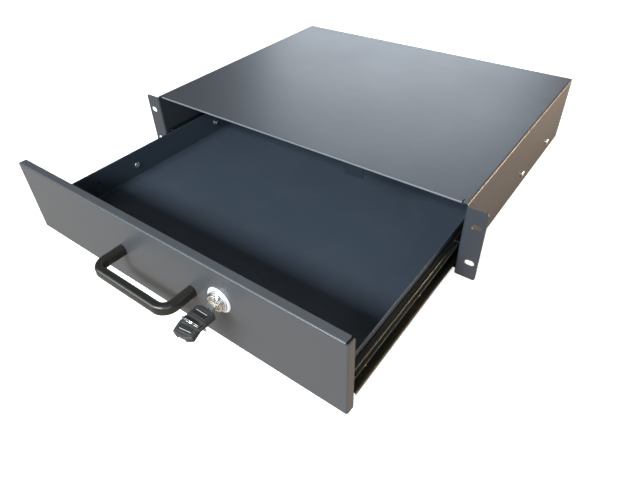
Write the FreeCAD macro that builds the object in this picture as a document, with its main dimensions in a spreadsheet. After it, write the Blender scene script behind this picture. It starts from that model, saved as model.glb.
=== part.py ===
import FreeCAD, Part
import math
import os
import re
import Sketcher

# Two-unit rack drawer for a 19 inch rack, drawn open as it stands on a bench.
# X runs to the right, Y to the back and Z up. The origin is the middle of the four
# rack slots, on the face of the ears that lies against the rack.
# Pieces of the case are drawn in heights above the case's lower edge. Pieces of the
# drawer are drawn where they are when it is shut, and placed forward by drawer_open.

Vector = FreeCAD.Vector
Rotation = FreeCAD.Rotation
Placement = FreeCAD.Placement

document = FreeCAD.newDocument("rack_drawer")
sheet = document.addObject("Spreadsheet::Sheet", "sizes")

SIZES = [
    # Rack interface
    ("slot_pitch_up", 44.45),
    ("slot_length", 10.0),
    ("slot_width", 6.8),
    ("slot_rise", 43.3),
    # Case, a folded steel sheet
    ("case_width", 440.0),
    ("case_depth", 346.0),
    ("case_height", 87.6),
    ("case_sheet", 1.2),
    ("bend_radius", 1.2),
    ("ear_reach", 21.3),
    ("slot_stand", 12.55),
    ("ear_height", 85.0),
    ("ear_corner", 3.0),
    ("lip_width", 12.0),
    ("lip_start", 30.0),
    ("hem_depth", 10.0),
    ("hem_inset", 7.0),
    ("slit_width", 1.2),
    ("slit_depth", 6.0),
    ("back_flange", 12.0),
    ("sheet_gap", 0.2),
    # Catch for the lock, welded under the top
    ("strike_width", 24.0),
    ("strike_drop", 22.0),
    ("strike_foot", 16.0),
    # Ball-bearing slides
    ("slide_space", 12.7),
    ("slide_height", 35.0),
    ("slide_length", 300.0),
    ("slide_rise", 19.5),
    ("slide_front", 5.0),
    ("slide_sheet", 1.2),
    ("drawer_rail_height", 26.6),
    ("drawer_rail_length", 290.0),
    ("rail_lip", 2.4),
    ("rail_bend", 1.0),
    ("ball_diameter", 4.0),
    ("ball_clearance", 0.05),
    ("ball_out", 4.6),
    ("ball_pitch", 9.6),
    ("ball_count", 6),
    ("hook_drop", 2.4),
    ("ball_window", 4.4),
    ("retainer_sheet", 0.5),
    ("retainer_gap", 0.3),
    ("retainer_length", 60.0),
    ("retainer_end", 2.0),
    ("drawer_travel", 225.0),
    ("drawer_open", 189.0),
    ("bumper_gap", 0.6),
    ("bumper_height", 16.0),
    # Screws that hold the slides
    ("case_screw_first", 26.0),
    ("case_screw_second", 186.0),
    ("case_screw_third", 282.0),
    ("tray_screw_first", 21.0),
    ("tray_screw_second", 117.0),
    ("tray_screw_third", 263.0),
    ("screw_diameter", 4.0),
    ("screw_head", 8.0),
    ("screw_head_height", 2.2),
    ("screw_clearance", 0.2),
    ("screw_chamfer", 1.0),
    ("tray_screw_length", 7.6),
    ("recess_length", 4.4),
    ("recess_width", 1.0),
    ("recess_depth", 1.3),
    # Tray
    ("tray_sheet", 1.2),
    ("tray_floor", 2.4),
    ("tray_wall_top", 38.5),
    ("tray_depth", 318.0),
    ("tray_front_step", 3.0),
    ("corner_gap", 0.4),
    ("spare_hole", 4.0),
    ("spare_hole_back", 58.4),
    ("spare_hole_rise", 2.4),
    # Front panel, a shallow folded pan
    ("panel_width", 436.4),
    ("panel_bottom", -0.9),
    ("panel_top", 86.8),
    ("panel_sheet", 1.2),
    ("panel_flange", 8.9),
    ("panel_gap", 0.5),
    ("panel_fold_rise", 1.3),
    ("panel_corner", 9.0),
    ("stud_first", 70.0),
    ("stud_side_stand", 26.1),
    ("stud_diameter", 4.0),
    ("stud_length", 7.0),
    ("nut_across", 7.0),
    ("nut_height", 3.2),
    ("nut_flange", 9.0),
    ("nut_flange_height", 1.0),
    # Handle
    ("handle_pitch", 100.0),
    ("handle_rise", 42.7),
    ("handle_reach", 37.5),
    ("handle_tall", 12.0),
    ("handle_thick", 9.5),
    ("handle_corner", 2.8),
    ("handle_bend", 11.5),
    ("handle_bore_depth", 14.0),
    ("handle_screw_length", 11.0),
    # Cam lock
    ("lock_across", 86.0),
    ("lock_rise", 52.8),
    ("barrel_diameter", 18.0),
    ("barrel_flat", 16.0),
    ("barrel_clearance", 0.2),
    ("collar_diameter", 20.0),
    ("collar_step_diameter", 17.8),
    ("collar_height", 2.6),
    ("collar_step_height", 1.9),
    ("bezel_diameter", 27.0),
    ("bezel_height", 1.8),
    ("lock_nut_across", 24.0),
    ("lock_nut_height", 4.0),
    ("plug_diameter", 13.2),
    ("plug_clearance", 0.06),
    ("plug_recess", 0.5),
    ("plug_tail", 7.0),
    ("plug_shoulder", 14.2),
    ("plug_shoulder_length", 1.0),
    ("bore_end_room", 1.0),
    ("cam_width", 13.0),
    ("cam_reach", 22.0),
    ("cam_sheet", 2.0),
    ("cam_gap", 0.5),
    ("cam_screw_length", 6.0),
    # Keys with a folding head
    ("key_stand", 15.4),
    ("blade_width", 8.6),
    ("blade_thick", 1.8),
    ("blade_length", 26.0),
    ("blade_point", 2.0),
    ("keyway_clearance", 0.15),
    ("cut_pitch", 3.4),
    ("cut_width", 1.8),
    ("first_cut", 2.4),
    ("cut_pair_depth", 2.2),
    ("bow_width", 22.0),
    ("bow_front", 3.0),
    ("bow_side_back", 0.6),
    ("bow_back", 18.8),
    ("bow_top", 2.0),
    ("bow_under", 3.2),
    ("bow_step", 12.0),
    ("bow_step_drop", 2.9),
    ("bow_corner", 4.0),
    ("bow_edge", 1.6),
    ("bow_recess_width", 14.7),
    ("bow_recess_front", 4.3),
    ("bow_recess_back", 9.0),
    ("bow_recess_depth", 0.7),
    ("key_pin_drop", 2.2),
    ("key_pin_diameter", 1.2),
    ("key_pin_length", 14.0),
    ("key_pin_clearance", 0.03),
    ("key_eye_diameter", 2.6),
    ("key_slot_clearance", 0.25),
    ("ring_hole_across", 7.2),
    ("ring_hole_back", 15.2),
    ("ring_hole_length", 5.2),
    ("ring_hole_width", 4.4),
    # Key ring and how the spare key hangs on it
    ("ring_radius", 11.6),
    ("ring_wire", 1.1),
    ("ring_lean", 30.0),
    ("ring_side_stand", 2.2),
    ("ring_hole_shift", 0.2),
    ("spare_hang_angle", 14.0),
    ("spare_tilt", 16.0),
    ("spare_yaw", 8.0),
]

ALIASES = {alias for alias, _ in SIZES}
for row, (alias, size) in enumerate(SIZES, start=1):
    sheet.set(f"A{row}", alias)
    sheet.set(f"B{row}", str(size))
    sheet.setAlias(f"B{row}", alias)
document.recompute()


def number(expression):
    """The value of an expression in the sheet's aliases, in mm or as a plain number."""
    return float(sheet.evalExpression(expression))


def size_of(alias):
    """The value of one named size."""
    return float(sheet.get(alias))


# Heights and places that several pieces share
CASE_INSIDE = "(case_width / 2 - case_sheet)"
TRAY_OUTSIDE = f"({CASE_INSIDE} - slide_space)"
BALL_FLATS = "(ball_diameter / sqrt(1 + 2 * tan(22.5 deg) * tan(22.5 deg)))"
BALL_HEIGHT = "(slide_height / 2 - slide_sheet - ball_diameter / 2 - ball_clearance)"
PANEL_BACK = "(-case_sheet - panel_gap)"
PANEL_FACE = f"({PANEL_BACK} - panel_flange)"
PANEL_INNER = f"({PANEL_FACE} + panel_sheet)"
TRAY_BACK = f"({PANEL_INNER} + tray_depth)"
TRAY_INSIDE = f"({TRAY_OUTSIDE} - tray_sheet)"
FLOOR_TOP = "(tray_floor + tray_sheet)"
STRIKE_FACE = "(bend_radius + hem_depth + sheet_gap)"
CAM_FRONT = f"({STRIKE_FACE} + case_sheet + cam_gap)"
CASE_SCREWS = ("case_screw_first", "case_screw_second", "case_screw_third")
TRAY_SCREWS = ("tray_screw_first", "tray_screw_second", "tray_screw_third")
OUTER_STUD = f"({TRAY_OUTSIDE} - stud_side_stand)"
STUDS = (f"-{OUTER_STUD}", "-stud_first", "stud_first", OUTER_STUD)


def bound(expression):
    """The expression as the document's objects read it, with each alias in the sheet."""
    def in_sheet(word):
        return f"sizes.{word[0]}" if word[0] in ALIASES else word[0]
    return re.sub("[a-z_]+", in_sheet, expression)


def new_body(label, right="0", back="0", up="0", turn=None):
    """A body with its own name and place. turn is its rotation, set once."""
    body = document.addObject("PartDesign::Body", label)
    body.Label = label
    body.AllowCompound = True
    if turn is not None:
        body.Placement = Placement(Vector(), turn)
    for axis, place in (("x", right), ("y", back), ("z", up)):
        if place != "0":
            body.setExpression(f"Placement.Base.{axis}", bound(place))
    return body


def case_body(label):
    """A body of the case, drawn in heights above the case's lower edge."""
    return new_body(label, "0", "0", "-slot_rise")


def drawer_body(label, right="0", back="0", up="0", turn=None):
    """A body of the drawer, drawn as it is when shut and placed forward."""
    return new_body(label, right, f"{back} - drawer_open", f"{up} - slot_rise", turn)


def new_sketch(body, plane, offset=None):
    """A sketch on one of the body's own planes, moved along its normal by offset."""
    sketch = body.newObject("Sketcher::SketchObject", f"{body.Name}_sketch")
    for feature in body.Origin.OriginFeatures:
        if feature.Role == plane:
            sketch.AttachmentSupport = (feature, [""])
    sketch.MapMode = "FlatFace"
    if offset is not None:
        sketch.setExpression("AttachmentOffset.Base.z", bound(offset))
    return sketch


def dimension(sketch, kind, *references, expression):
    """A dimension in a sketch that follows an expression."""
    value = number(expression)
    index = sketch.addConstraint(Sketcher.Constraint(kind, *references, value))
    sketch.setExpression(f"Constraints[{index}]", bound(expression))


def centre_at(sketch, geometry, point, across, up):
    """Hold a point of the geometry at a distance from the sketch's origin."""
    dimension(sketch, "DistanceX", -1, 1, geometry, point, expression=across)
    dimension(sketch, "DistanceY", -1, 1, geometry, point, expression=up)


def circle(sketch, across, up, diameter):
    """A circle at a place in the sketch."""
    centre = Vector(number(across), number(up), 0)
    index = sketch.addGeometry(Part.Circle(centre, Vector(0, 0, 1), number(diameter) / 2), False)
    centre_at(sketch, index, 3, across, up)
    dimension(sketch, "Diameter", index, expression=diameter)


def arc_between(centre, radius, start, end, middle):
    """An arc through three points, with the numbers of its start and end points."""
    angles = [math.atan2(point.y - centre.y, point.x - centre.x) for point in (start, middle, end)]
    to_middle = (angles[1] - angles[0]) % (2 * math.pi)
    to_end = (angles[2] - angles[0]) % (2 * math.pi)
    whole = Part.Circle(centre, Vector(0, 0, 1), radius)
    if to_middle < to_end:
        return Part.ArcOfCircle(whole, angles[0], angles[0] + to_end), 1, 2
    return Part.ArcOfCircle(whole, angles[2], angles[2] + 2 * math.pi - to_end), 2, 1


def oblong(sketch, across, up, length, width):
    """A slot with round ends, its long side along the sketch's first axis."""
    x, y = number(across), number(up)
    half = (number(length) - number(width)) / 2
    radius = number(width) / 2
    ends = []
    for side in (1, -1):
        centre = Vector(x + side * half, y, 0)
        start = centre + Vector(0, -side * radius, 0)
        end = centre + Vector(0, side * radius, 0)
        arc, first, last = arc_between(centre, radius, start, end, centre + Vector(side * radius, 0, 0))
        ends.append((sketch.addGeometry(arc, False), first, last))
        centre_at(sketch, ends[-1][0], 3, f"{across} + {side} * ( {length} - {width} ) / 2", up)
    for (arc, _, last), (other, first, _) in (ends, ends[::-1]):
        start = sketch.getPoint(arc, last)
        end = sketch.getPoint(other, first)
        line = sketch.addGeometry(Part.LineSegment(start, end), False)
        sketch.addConstraint(Sketcher.Constraint("Tangent", arc, last, line, 1))
        sketch.addConstraint(Sketcher.Constraint("Tangent", line, 2, other, first))
    dimension(sketch, "Radius", ends[0][0], expression=f"{width} / 2")


def crossing(first, second):
    """Where two neighbouring sides of an outline meet."""
    if first[0] == "arc":
        first, second = second, first
        sign = second[5]
    else:
        sign = second[4] if second[0] == "arc" else 0
    place = number(first[1])
    if second[0] != "arc":
        other = number(second[1])
        return Vector(place, other, 0) if first[0] == "x" else Vector(other, place, 0)
    across, up, radius = (number(part) for part in second[1:4])
    if first[0] == "x":
        return Vector(place, up + sign * math.sqrt(radius ** 2 - (place - across) ** 2), 0)
    return Vector(across + sign * math.sqrt(radius ** 2 - (place - up) ** 2), place, 0)


# Small fasteners, the lock and the key ring are drawn with flat sides, to keep the meshes light
HEAD_SIDES = 12
SHANK_SIDES = 8
HOLE_SIDES = 12
LOCK_SIDES = 32
RING_SIDES = 40
SHANK_FLATS = f"cos({180 / SHANK_SIDES} deg)"


def regular(sketch, count, across_flats, across="0", up="0"):
    """A regular outline of so many sides about a place in the sketch, one side level on top."""
    step = 2 * math.pi / count
    radius = number(across_flats) / 2 / math.cos(step / 2)
    centre = Vector(number(across), number(up), 0)
    points = []
    for index in range(count):
        angle = math.pi / 2 - step / 2 + index * step
        points.append(centre + Vector(radius * math.cos(angle), radius * math.sin(angle), 0))
    sides = []
    for index in range(count):
        side = Part.LineSegment(points[index], points[(index + 1) % count])
        sides.append(sketch.addGeometry(side, False))
    guide = sketch.addGeometry(Part.Circle(centre, Vector(0, 0, 1), radius), True)
    centre_at(sketch, guide, 3, across, up)
    for index in range(count):
        following = sides[(index + 1) % count]
        sketch.addConstraint(Sketcher.Constraint("Coincident", sides[index], 2, following, 1))
        sketch.addConstraint(Sketcher.Constraint("PointOnObject", sides[index], 1, guide))
        if index:
            sketch.addConstraint(Sketcher.Constraint("Equal", sides[0], sides[index]))
    sketch.addConstraint(Sketcher.Constraint("Horizontal", sides[0]))
    dimension(sketch, "Diameter", guide, expression=f"{across_flats} / cos({180 / count} deg)")


def screw_holes(sketch, places, up):
    """Clearance holes for the screws, in a row."""
    for place in places:
        regular(sketch, HOLE_SIDES, "screw_diameter + screw_clearance", place, up)


def outline(sketch, sides, rounds=None):
    """A closed outline whose sides follow each other round it.

    A side is ("x", place) for one that runs up or down at that place, ("y", place) for one
    that runs across, or ("arc", across, up, radius, start sign, end sign, middle sign) for
    an arc about a centre: the signs say on which side of the centre it starts and ends, and
    whether it passes over or under. rounds gives the radius of the corner after a side.
    """
    rounds = rounds or {}
    count = len(sides)
    corners = [crossing(sides[index], sides[(index + 1) % count]) for index in range(count)]
    entries = []
    exits = []
    for index in range(count):
        ahead = corners[(index + 1) % count] - corners[index]
        behind = corners[index - 1] - corners[index]
        radius = number(rounds[index]) if index in rounds else 0.0
        exits.append(corners[index] + behind.normalize() * radius if radius else corners[index])
        entries.append(corners[index] + ahead.normalize() * radius if radius else corners[index])
    pieces = []
    for index, side in enumerate(sides):
        start, end = entries[index - 1], exits[index]
        if side[0] == "arc":
            centre = Vector(number(side[1]), number(side[2]), 0)
            radius = number(side[3])
            middle = centre + Vector(0, side[6] * radius, 0)
            arc, first, last = arc_between(centre, radius, start, end, middle)
            piece = sketch.addGeometry(arc, False)
            centre_at(sketch, piece, 3, side[1], side[2])
            dimension(sketch, "Radius", piece, expression=side[3])
            pieces.append((piece, first, last))
            continue
        piece = sketch.addGeometry(Part.LineSegment(start, end), False)
        sketch.addConstraint(Sketcher.Constraint("Vertical" if side[0] == "x" else "Horizontal", piece))
        kind = "DistanceX" if side[0] == "x" else "DistanceY"
        dimension(sketch, kind, -1, 1, piece, 1, expression=side[1])
        pieces.append((piece, 1, 2))
    for index in range(count):
        piece, _, last = pieces[index]
        following, first, _ = pieces[(index + 1) % count]
        if index not in rounds:
            sketch.addConstraint(Sketcher.Constraint("Coincident", piece, last, following, first))
            continue
        radius = number(rounds[index])
        inward = (entries[index] - corners[index]) + (exits[index] - corners[index])
        centre = corners[index] + inward
        middle = centre - inward.normalize() * radius
        arc, first_of_arc, last_of_arc = arc_between(centre, radius, exits[index], entries[index], middle)
        bend = sketch.addGeometry(arc, False)
        sketch.addConstraint(Sketcher.Constraint("Tangent", piece, last, bend, first_of_arc))
        sketch.addConstraint(Sketcher.Constraint("Tangent", bend, last_of_arc, following, first))
        dimension(sketch, "Radius", bend, expression=rounds[index])


def block_outline(sketch, left, right, low, high, rounds=None):
    """A plain rectangle in a sketch, its corners numbered from the upper left one on."""
    outline(sketch, [("x", left), ("y", high), ("x", right), ("y", low)], rounds)


def pad(body, sketch, length, reverse=False, both_ways=False):
    """Material from a sketch, along its normal."""
    feature = body.newObject("PartDesign::Pad", f"{body.Name}_pad")
    feature.Profile = sketch
    feature.setExpression("Length", bound(length))
    feature.Reversed = reverse
    feature.Midplane = both_ways
    document.recompute()
    return feature


def pocket(body, sketch, length, reverse=False, both_ways=False):
    """A cut from a sketch, against its normal, checked to remove material."""
    before = body.Shape.Volume
    feature = body.newObject("PartDesign::Pocket", f"{body.Name}_pocket")
    feature.Profile = sketch
    feature.setExpression("Length", bound(length))
    feature.Reversed = reverse
    feature.Midplane = both_ways
    document.recompute()
    if body.Shape.Volume >= before:
        raise ValueError(f"{body.Label}: a pocket cuts nothing")
    return feature


def edges_where(body, chosen):
    """Names of the body's edges whose middle point and direction pass a test."""
    names = []
    for index, edge in enumerate(body.Tip.Shape.Edges, start=1):
        box = edge.BoundBox
        if chosen(box.Center, Vector(box.XLength, box.YLength, box.ZLength)):
            names.append(f"Edge{index}")
    return names


def fillet(body, radius, chosen, kind="PartDesign::Fillet"):
    """Round or chamfer the edges that pass a test."""
    document.recompute()
    names = edges_where(body, chosen)
    if not names:
        raise ValueError(f"{body.Label}: no edge to round")
    feature = body.newObject(kind, f"{body.Name}_edge")
    feature.Base = (feature.BaseFeature, names)
    feature.setExpression("Radius" if kind.endswith("Fillet") else "Size", bound(radius))
    document.recompute()
    return feature


def near(value, expression):
    """Whether a measured place is the one that an expression gives."""
    return abs(value - number(expression)) < 0.02


# Case

def make_case_shell():
    """The case: top and sides folded from one sheet, ears bent out, narrow lips turned in."""
    body = case_body("case_shell")
    foot = "(case_sheet + 2 * bend_radius)"

    profile = new_sketch(body, "XZ_Plane", "-bend_radius")
    outline(profile, [
        ("x", "-case_width / 2"), ("y", "case_height"), ("x", "case_width / 2"), ("y", foot),
        ("x", CASE_INSIDE), ("y", "case_height - case_sheet"), ("x", f"-{CASE_INSIDE}"), ("y", foot),
    ], {0: "bend_radius + case_sheet", 1: "bend_radius + case_sheet", 4: "bend_radius", 5: "bend_radius"})
    pad(body, profile, "case_depth - bend_radius", reverse=True)

    strip = new_sketch(body, "XZ_Plane", "-bend_radius")
    for side in (1, -1):
        block_outline(strip, f"{side} * {CASE_INSIDE}", f"{side} * case_width / 2", "0", foot)
    pad(body, strip, "lip_start - bend_radius", reverse=True)

    lip = new_sketch(body, "XZ_Plane", "-lip_start")
    for side in (1, -1):
        outline(lip, [
            ("x", f"{side} * case_width / 2"), ("y", "0"), ("x", f"{side} * ( case_width / 2 - lip_width )"),
            ("y", "case_sheet"), ("x", f"{side} * {CASE_INSIDE}"), ("y", foot),
        ], {0: "bend_radius + case_sheet", 3: "bend_radius"})
    pad(body, lip, "case_depth - lip_start", reverse=True)

    ear = new_sketch(body, "XY_Plane", "slot_rise - ear_height / 2")
    for side in (1, -1):
        outline(ear, [
            ("x", f"{side} * {CASE_INSIDE}"), ("y", "-case_sheet"),
            ("x", f"{side} * ( case_width / 2 + ear_reach )"), ("y", "0"),
            ("x", f"{side} * case_width / 2"), ("y", "3 * bend_radius"),
        ], {0: "bend_radius + case_sheet", 3: "bend_radius"})
    pad(body, ear, "ear_height")
    fillet(body, "ear_corner", lambda middle, length: (
        near(abs(middle.x), "case_width / 2 + ear_reach") and near(length.y, "case_sheet")))

    slots = new_sketch(body, "XZ_Plane")
    for across in (1, -1):
        for up in (1, -1):
            oblong(slots, f"{across} * ( case_width / 2 + slot_stand )",
                   f"slot_rise + {up} * slot_pitch_up / 2", "slot_length", "slot_width")
    pocket(body, slots, "4 * case_sheet", both_ways=True)

    hem = new_sketch(body, "XY_Plane", "case_height - 2 * case_sheet")
    block_outline(hem, "hem_inset - case_width / 2", "case_width / 2 - hem_inset", "bend_radius",
                  "bend_radius + hem_depth")
    pad(body, hem, "case_sheet")

    slits = new_sketch(body, "XY_Plane", "case_height")
    for side in (1, -1):
        block_outline(slits, f"{side} * ( case_width / 2 - hem_inset )",
                      f"{side} * ( case_width / 2 - hem_inset + slit_width )",
                      "0", "bend_radius + slit_depth")
    pocket(body, slits, "case_sheet + sheet_gap")
    fillet(body, "case_sheet - sheet_gap / 2", lambda middle, length: (
        near(middle.y, "bend_radius") and length.x > number("case_width / 2")
        and middle.z > number("case_height - 3 * case_sheet")))

    holes = new_sketch(body, "YZ_Plane")
    screw_holes(holes, [f"slide_front + {place}" for place in CASE_SCREWS], "slide_rise")
    pocket(body, holes, "case_width + 2 * case_sheet", both_ways=True)
    return body


def make_back_panel():
    """The sheet that closes the back, its flanges spot-welded inside the case."""
    body = case_body("back_panel")
    wide = f"({CASE_INSIDE} - sheet_gap)"
    low = "(case_sheet + bend_radius + sheet_gap)"
    plate = new_sketch(body, "XY_Plane", low)
    outline(plate, [
        ("x", f"-{wide}"), ("y", "case_depth"), ("x", wide), ("y", "case_depth - back_flange"),
        ("x", f"{wide} - case_sheet"), ("y", "case_depth - case_sheet"),
        ("x", f"case_sheet - {wide}"), ("y", "case_depth - back_flange"),
    ], {0: "bend_radius + case_sheet", 1: "bend_radius + case_sheet", 4: "bend_radius", 5: "bend_radius"})
    pad(body, plate, f"case_height - case_sheet - bend_radius - {low}")
    return body


def make_lock_strike():
    """The bent catch under the top that the lock's cam turns up behind."""
    body = new_body("lock_strike", "lock_across", "0", "-slot_rise")
    profile = new_sketch(body, "YZ_Plane")
    outline(profile, [
        ("x", STRIKE_FACE), ("y", "case_height - case_sheet"), ("x", f"{STRIKE_FACE} + strike_foot"),
        ("y", "case_height - 2 * case_sheet"), ("x", f"{STRIKE_FACE} + case_sheet"),
        ("y", "case_height - case_sheet - strike_drop"),
    ], {0: "bend_radius + case_sheet", 3: "bend_radius"})
    pad(body, profile, "strike_width", both_ways=True)
    return body


# Slides, built once and turned over for the other side of the drawer

def slide_place(side):
    """How a slide member is turned so that its first axis points away from the case wall."""
    turn = Rotation(Vector(0, 1, 0), 180) if side > 0 else Rotation()
    return f"{side} * {CASE_INSIDE}", turn


def make_case_rail(label, side):
    """The slide member on the case: a web with both edges rolled over the balls."""
    right, turn = slide_place(side)
    body = new_body(label, right, "slide_front", "slide_rise - slot_rise", turn)
    hook_inner = "(ball_out + ball_diameter / 2 + ball_clearance)"
    flange = "(slide_height / 2 - slide_sheet)"
    hook_end = "(slide_height / 2 - slide_sheet - hook_drop)"
    profile = new_sketch(body, "XZ_Plane")
    outline(profile, [
        ("x", "0"), ("y", "slide_height / 2"), ("x", f"{hook_inner} + slide_sheet"), ("y", hook_end),
        ("x", hook_inner), ("y", flange), ("x", "slide_sheet"), ("y", f"-{flange}"),
        ("x", hook_inner), ("y", f"-{hook_end}"), ("x", f"{hook_inner} + slide_sheet"),
        ("y", "-slide_height / 2"),
    ], {0: "rail_bend", 1: "2 * rail_bend", 4: "rail_bend", 5: "rail_bend / 2",
        6: "rail_bend / 2", 7: "rail_bend", 10: "2 * rail_bend", 11: "rail_bend"})
    pad(body, profile, "slide_length", reverse=True)
    holes = new_sketch(body, "YZ_Plane")
    screw_holes(holes, CASE_SCREWS, "0")
    pocket(body, holes, "3 * slide_sheet", both_ways=True)
    return body


def make_drawer_rail(label, side):
    """The slide member on the drawer, with a groove along each edge for its row of balls."""
    right, turn = slide_place(side)
    body = drawer_body(label, right, "slide_front", "slide_rise", turn)
    groove = "(ball_diameter / 2 + ball_clearance)"
    land = "(drawer_rail_height / 2)"
    under = f"({land} - slide_sheet)"
    web = "(slide_space - slide_sheet)"
    profile = new_sketch(body, "XZ_Plane")
    outline(profile, [
        ("x", "slide_space"),
        ("y", land),
        ("arc", "ball_out", BALL_HEIGHT, groove, 1, -1, -1),
        ("y", land),
        ("x", "rail_lip"),
        ("arc", "ball_out", BALL_HEIGHT, f"{groove} + slide_sheet", -1, 1, -1),
        ("y", under),
        ("x", web),
        ("y", f"-{under}"),
        ("arc", "ball_out", f"-{BALL_HEIGHT}", f"{groove} + slide_sheet", 1, 1, 1),
        ("x", "rail_lip"),
        ("y", f"-{land}"),
        ("arc", "ball_out", f"-{BALL_HEIGHT}", groove, -1, 1, 1),
        ("y", f"-{land}"),
    ], {0: "rail_bend + slide_sheet", 6: "rail_bend", 7: "rail_bend", 13: "rail_bend + slide_sheet"})
    pad(body, profile, "drawer_rail_length", reverse=True)
    holes = new_sketch(body, "YZ_Plane", "slide_space")
    screw_holes(holes, TRAY_SCREWS, "0")
    pocket(body, holes, "2 * slide_sheet")
    return body


RETAINER_FRONT = "(slide_front + retainer_end + drawer_travel / 2 - drawer_open / 2)"


def make_ball_retainer(label, side):
    """The thin cage that keeps both rows of balls apart. It rolls half as far as the drawer."""
    right, turn = slide_place(side)
    body = new_body(label, right, RETAINER_FRONT, "slide_rise - slot_rise", turn)
    outer = "(slide_sheet + retainer_gap)"
    edge = f"({BALL_HEIGHT} + retainer_sheet / 2)"
    tip = "(ball_out + ball_diameter / 2 + ball_clearance - retainer_gap)"
    profile = new_sketch(body, "XZ_Plane")
    outline(profile, [
        ("x", outer), ("y", edge), ("x", tip), ("y", f"{edge} - retainer_sheet"),
        ("x", f"{outer} + retainer_sheet"), ("y", f"retainer_sheet - {edge}"), ("x", tip), ("y", f"-{edge}"),
    ])
    pad(body, profile, "retainer_length", reverse=True)
    holes = new_sketch(body, "XY_Plane")
    for count in range(int(size_of("ball_count"))):
        place = f"(retainer_length / 2 + ( {count} - ( ball_count - 1 ) / 2 ) * ball_pitch)"
        block_outline(holes, "ball_out - ball_window / 2", "ball_out + ball_window / 2",
                      f"{place} - ball_window / 2", f"{place} + ball_window / 2")
    pocket(body, holes, "slide_height", both_ways=True)
    return body


def side_turn(side):
    """Turns a piece drawn upright to point to the right or the left."""
    return Rotation(Vector(0, 1, 0), 90 * side)


def make_ball():
    """One steel ball with flat faces, the common part of three crossed octagonal bars."""
    bars = []
    for index, turn in enumerate((Rotation(), side_turn(1), Rotation(Vector(1, 0, 0), 90))):
        bar = new_body(f"ball_bar_{index}", turn=turn)
        profile = new_sketch(bar, "XY_Plane")
        regular(profile, SHANK_SIDES, BALL_FLATS)
        pad(bar, profile, BALL_FLATS, both_ways=True)
        bars.append(bar)
    ball = document.addObject("Part::MultiCommon", "ball")
    ball.Shapes = bars
    document.recompute()
    return ball


def linked_group(label, master, places):
    """A group of like pieces. Each place is (right, back, up, turn) with expressions."""
    links = []
    for index, (right, back, up, turn) in enumerate(places):
        link = document.addObject("App::Link", f"{label}_{index}")
        link.LinkedObject = master
        link.LinkTransform = False
        link.Placement = Placement(Vector(), turn)
        for axis, place in (("x", right), ("y", back), ("z", up)):
            link.setExpression(f"Placement.Base.{axis}", bound(place))
        links.append(link)
    group = document.addObject("Part::Compound", label)
    group.Label = label
    group.Links = links
    document.recompute()
    return group


def make_balls(label, side, master):
    """The two rows of balls of one slide."""
    places = []
    for up in (1, -1):
        for count in range(int(size_of("ball_count"))):
            along = (f"{RETAINER_FRONT} + retainer_length / 2"
                     f" + ( {count} - ( ball_count - 1 ) / 2 ) * ball_pitch")
            places.append((f"{side} * ( {CASE_INSIDE} - ball_out )", along,
                           f"slide_rise - slot_rise + {up} * {BALL_HEIGHT}", Rotation()))
    return linked_group(label, master, places)


def make_bumper():
    """One rubber stop in the back end of a case rail, drawn for the left side."""
    body = new_body("bumper")
    profile = new_sketch(body, "XZ_Plane")
    block_outline(profile, "slide_sheet", "slide_space - slide_sheet - sheet_gap",
                  "-bumper_height / 2", "bumper_height / 2")
    pad(body, profile, "slide_length - drawer_rail_length - bumper_gap", reverse=True)
    return body


# Screws

def make_pan_screw(label, length):
    """A cross-recessed pan-head screw, its head above the first plane and its shank below."""
    body = new_body(label)
    head = new_sketch(body, "XY_Plane")
    regular(head, HEAD_SIDES, "screw_head")
    pad(body, head, "screw_head_height")
    fillet(body, "screw_chamfer", lambda middle, length: (
        near(middle.z, "screw_head_height") and length.z < 0.01), "PartDesign::Chamfer")
    shank = new_sketch(body, "XY_Plane")
    regular(shank, SHANK_SIDES, f"screw_diameter * {SHANK_FLATS}")
    pad(body, shank, length, reverse=True)
    recess = new_sketch(body, "XY_Plane", "screw_head_height")
    arm, half = "recess_length / 2", "recess_width / 2"
    outline(recess, [
        ("x", f"-{half}"), ("y", arm), ("x", half), ("y", half), ("x", arm), ("y", f"-{half}"),
        ("x", half), ("y", f"-{arm}"), ("x", f"-{half}"), ("y", f"-{half}"), ("x", f"-{arm}"), ("y", half),
    ])
    pocket(body, recess, "recess_depth")
    return body


def make_case_screws():
    """Six screws through the case sides into the case rails, heads outside."""
    master = make_pan_screw("case_screw", "case_sheet + slide_sheet")
    places = []
    for side in (1, -1):
        for place in CASE_SCREWS:
            places.append((f"{side} * case_width / 2", f"slide_front + {place}",
                           "slide_rise - slot_rise", side_turn(side)))
    return linked_group("case_screws", master, places)


def make_tray_screws():
    """Six screws through the tray walls into the drawer rails, heads inside the tray."""
    master = make_pan_screw("tray_screw", "tray_screw_length")
    places = []
    for side in (1, -1):
        for place in TRAY_SCREWS:
            places.append((f"{side} * {TRAY_INSIDE}",
                           f"slide_front + {place} - drawer_open",
                           "slide_rise - slot_rise", side_turn(-side)))
    return linked_group("tray_screws", master, places)


# Drawer

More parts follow.
